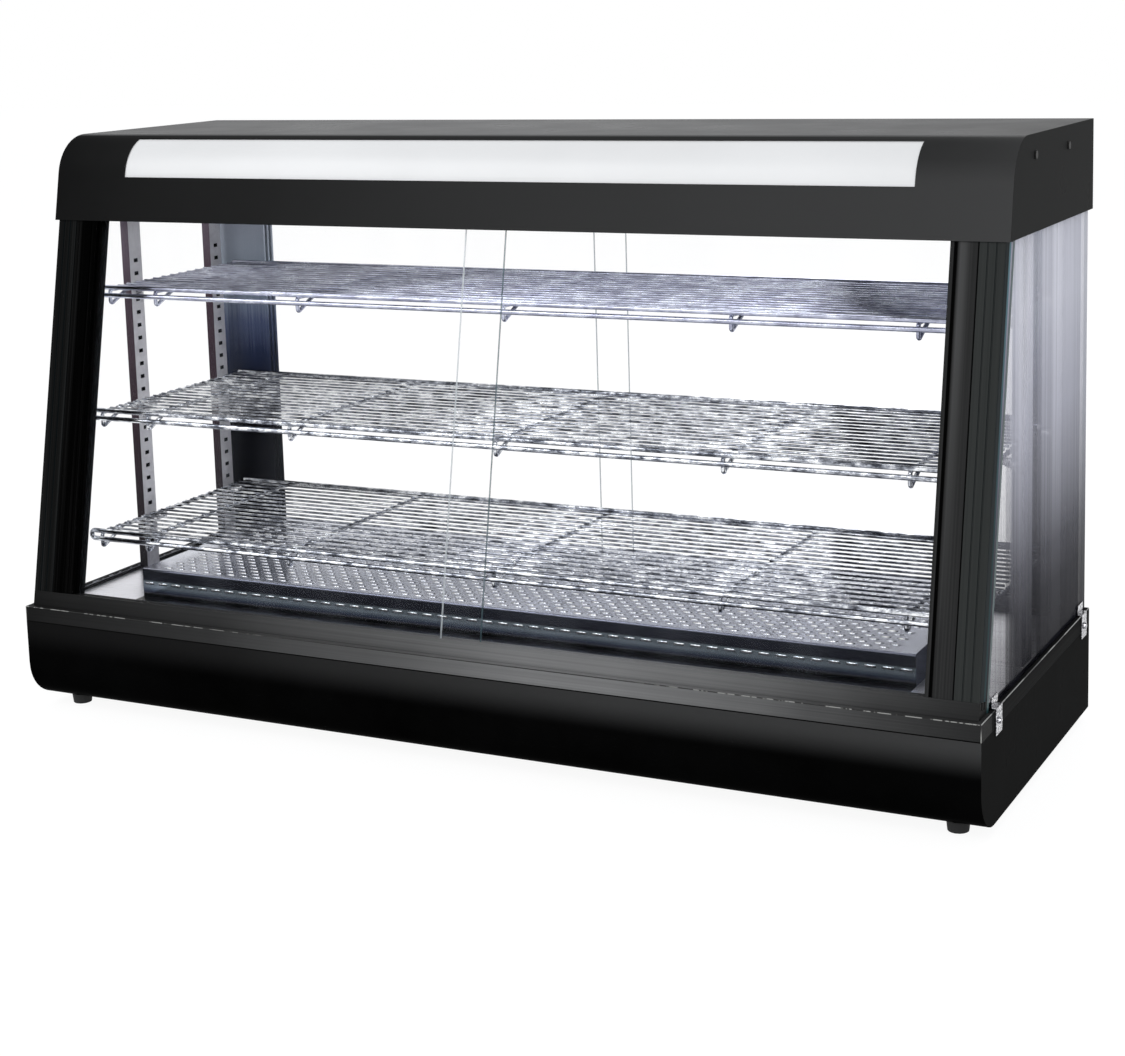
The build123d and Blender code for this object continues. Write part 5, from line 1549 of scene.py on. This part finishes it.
@dataclass
class Studio:
    """The plain floor, the soft light and the camera of the photograph."""

    image_width: float = 1125.0
    focal_pixels: float = 2181.2
    axis_above_middle: float = 180.0
    sensor: float = 36.0
    eye: Vector = field(default_factory=lambda: Vector((1.1747, -2.2420, 0.8457)))
    yaw: float = math.radians(-26.924)
    pitch: float = math.radians(-9.0)
    roll: float = math.radians(-1.668)
    sky: Colour = (0.93, 0.96, 1.0)
    sky_strength: float = 0.55
    floor_tone: Colour = grey(0.9)
    floor_reach: float = 14.0
    floor_share: float = 0.84
    floor_glow: float = 1.1

    def camera(self) -> None:
        """Place the camera where the photograph was taken."""
        level = Vector((math.cos(self.yaw), -math.sin(self.yaw), 0.0))
        forward = Vector((math.sin(self.yaw), math.cos(self.yaw), 0.0))
        ahead = forward * math.cos(self.pitch) + Vector((0.0, 0.0, math.sin(self.pitch)))
        upward = level.cross(ahead)
        right = level * math.cos(self.roll) + upward * math.sin(self.roll)
        up = upward * math.cos(self.roll) - level * math.sin(self.roll)
        data = bpy.data.cameras.new("camera")
        data.sensor_width = self.sensor
        data.lens = self.focal_pixels / self.image_width * self.sensor
        data.shift_y = -self.axis_above_middle / self.image_width
        made = bpy.data.objects.new("camera", data)
        turned = Matrix((right, up, -ahead)).transposed().to_4x4()
        made.matrix_world = Matrix.Translation(self.eye) @ turned
        bpy.context.scene.collection.objects.link(made)
        bpy.context.scene.camera = made

    def world(self) -> None:
        """Light from all round, with a white backdrop."""
        world = bpy.data.worlds.new("studio")
        bpy.context.scene.world = world
        tree = Tree(world)
        light = tree.glow("ShaderNodeBackground", self.sky, self.sky_strength)
        backdrop = tree.glow("ShaderNodeBackground", grey(1.0), 1.0)
        tree.show(tree.seen(), light, backdrop, "World Output")

    def floor(self) -> None:
        """A wide pale floor that keeps the case's soft shadow."""
        mesh = bpy.data.meshes.new("floor")
        corner = self.floor_reach
        around = [(-corner, -corner, 0), (corner, -corner, 0), (corner, corner, 0), (-corner, corner, 0)]
        mesh.from_pydata(around, [], [(0, 1, 2, 3)])
        made = bpy.data.objects.new("floor", mesh)
        bpy.context.scene.collection.objects.link(made)
        material = bpy.data.materials.new("pale_floor")
        tree = Tree(material)
        tree.fixed(Base_Color=(*self.floor_tone, 1.0), Roughness=0.9, Specular_IOR_Level=0.1)
        share = tree.sum("MULTIPLY", tree.seen(), self.floor_share)
        lit = tree.glow("ShaderNodeEmission", grey(1.0), self.floor_glow)
        tree.show(share, tree.shader.outputs[0], lit, "Material Output")
        mesh.materials.append(material)

    def lamp(
        self, name: str, place: Sequence[float], aim: Sequence[float], size: float, power: float,
    ) -> None:
        """Hang a soft square lamp.

        Args:
            name: what it is called.
            place: where it hangs.
            aim: the point that it shines at.
            size: its width.
            power: its power in watts.
        """
        data = bpy.data.lights.new(name, "AREA")
        data.shape = "SQUARE"
        data.size = size
        data.energy = power
        made = bpy.data.objects.new(name, data)
        made.location = place
        made.rotation_euler = (Vector(aim) - Vector(place)).to_track_quat("-Z", "Y").to_euler()
        bpy.context.scene.collection.objects.link(made)

    def build(self) -> None:
        """Set up the view, the light and the floor."""
        bpy.context.scene.view_settings.view_transform = "Standard"
        self.camera()
        self.world()
        self.floor()
        for name, place, aim, size, power in LAMPS:
            self.lamp(name, place, aim, size, power)


def main() -> None:
    """Build the looks in order."""
    logging.basicConfig(level=logging.INFO)
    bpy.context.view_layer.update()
    Studio().build()
    for assembly in (Base(), Frame(), Glazing(), Fittings(), Heaters(), Hood(), Controls()):
        log.info("dressing %s", type(assembly).__name__)
        assembly.build()


if __name__ == "__main__":
    main()
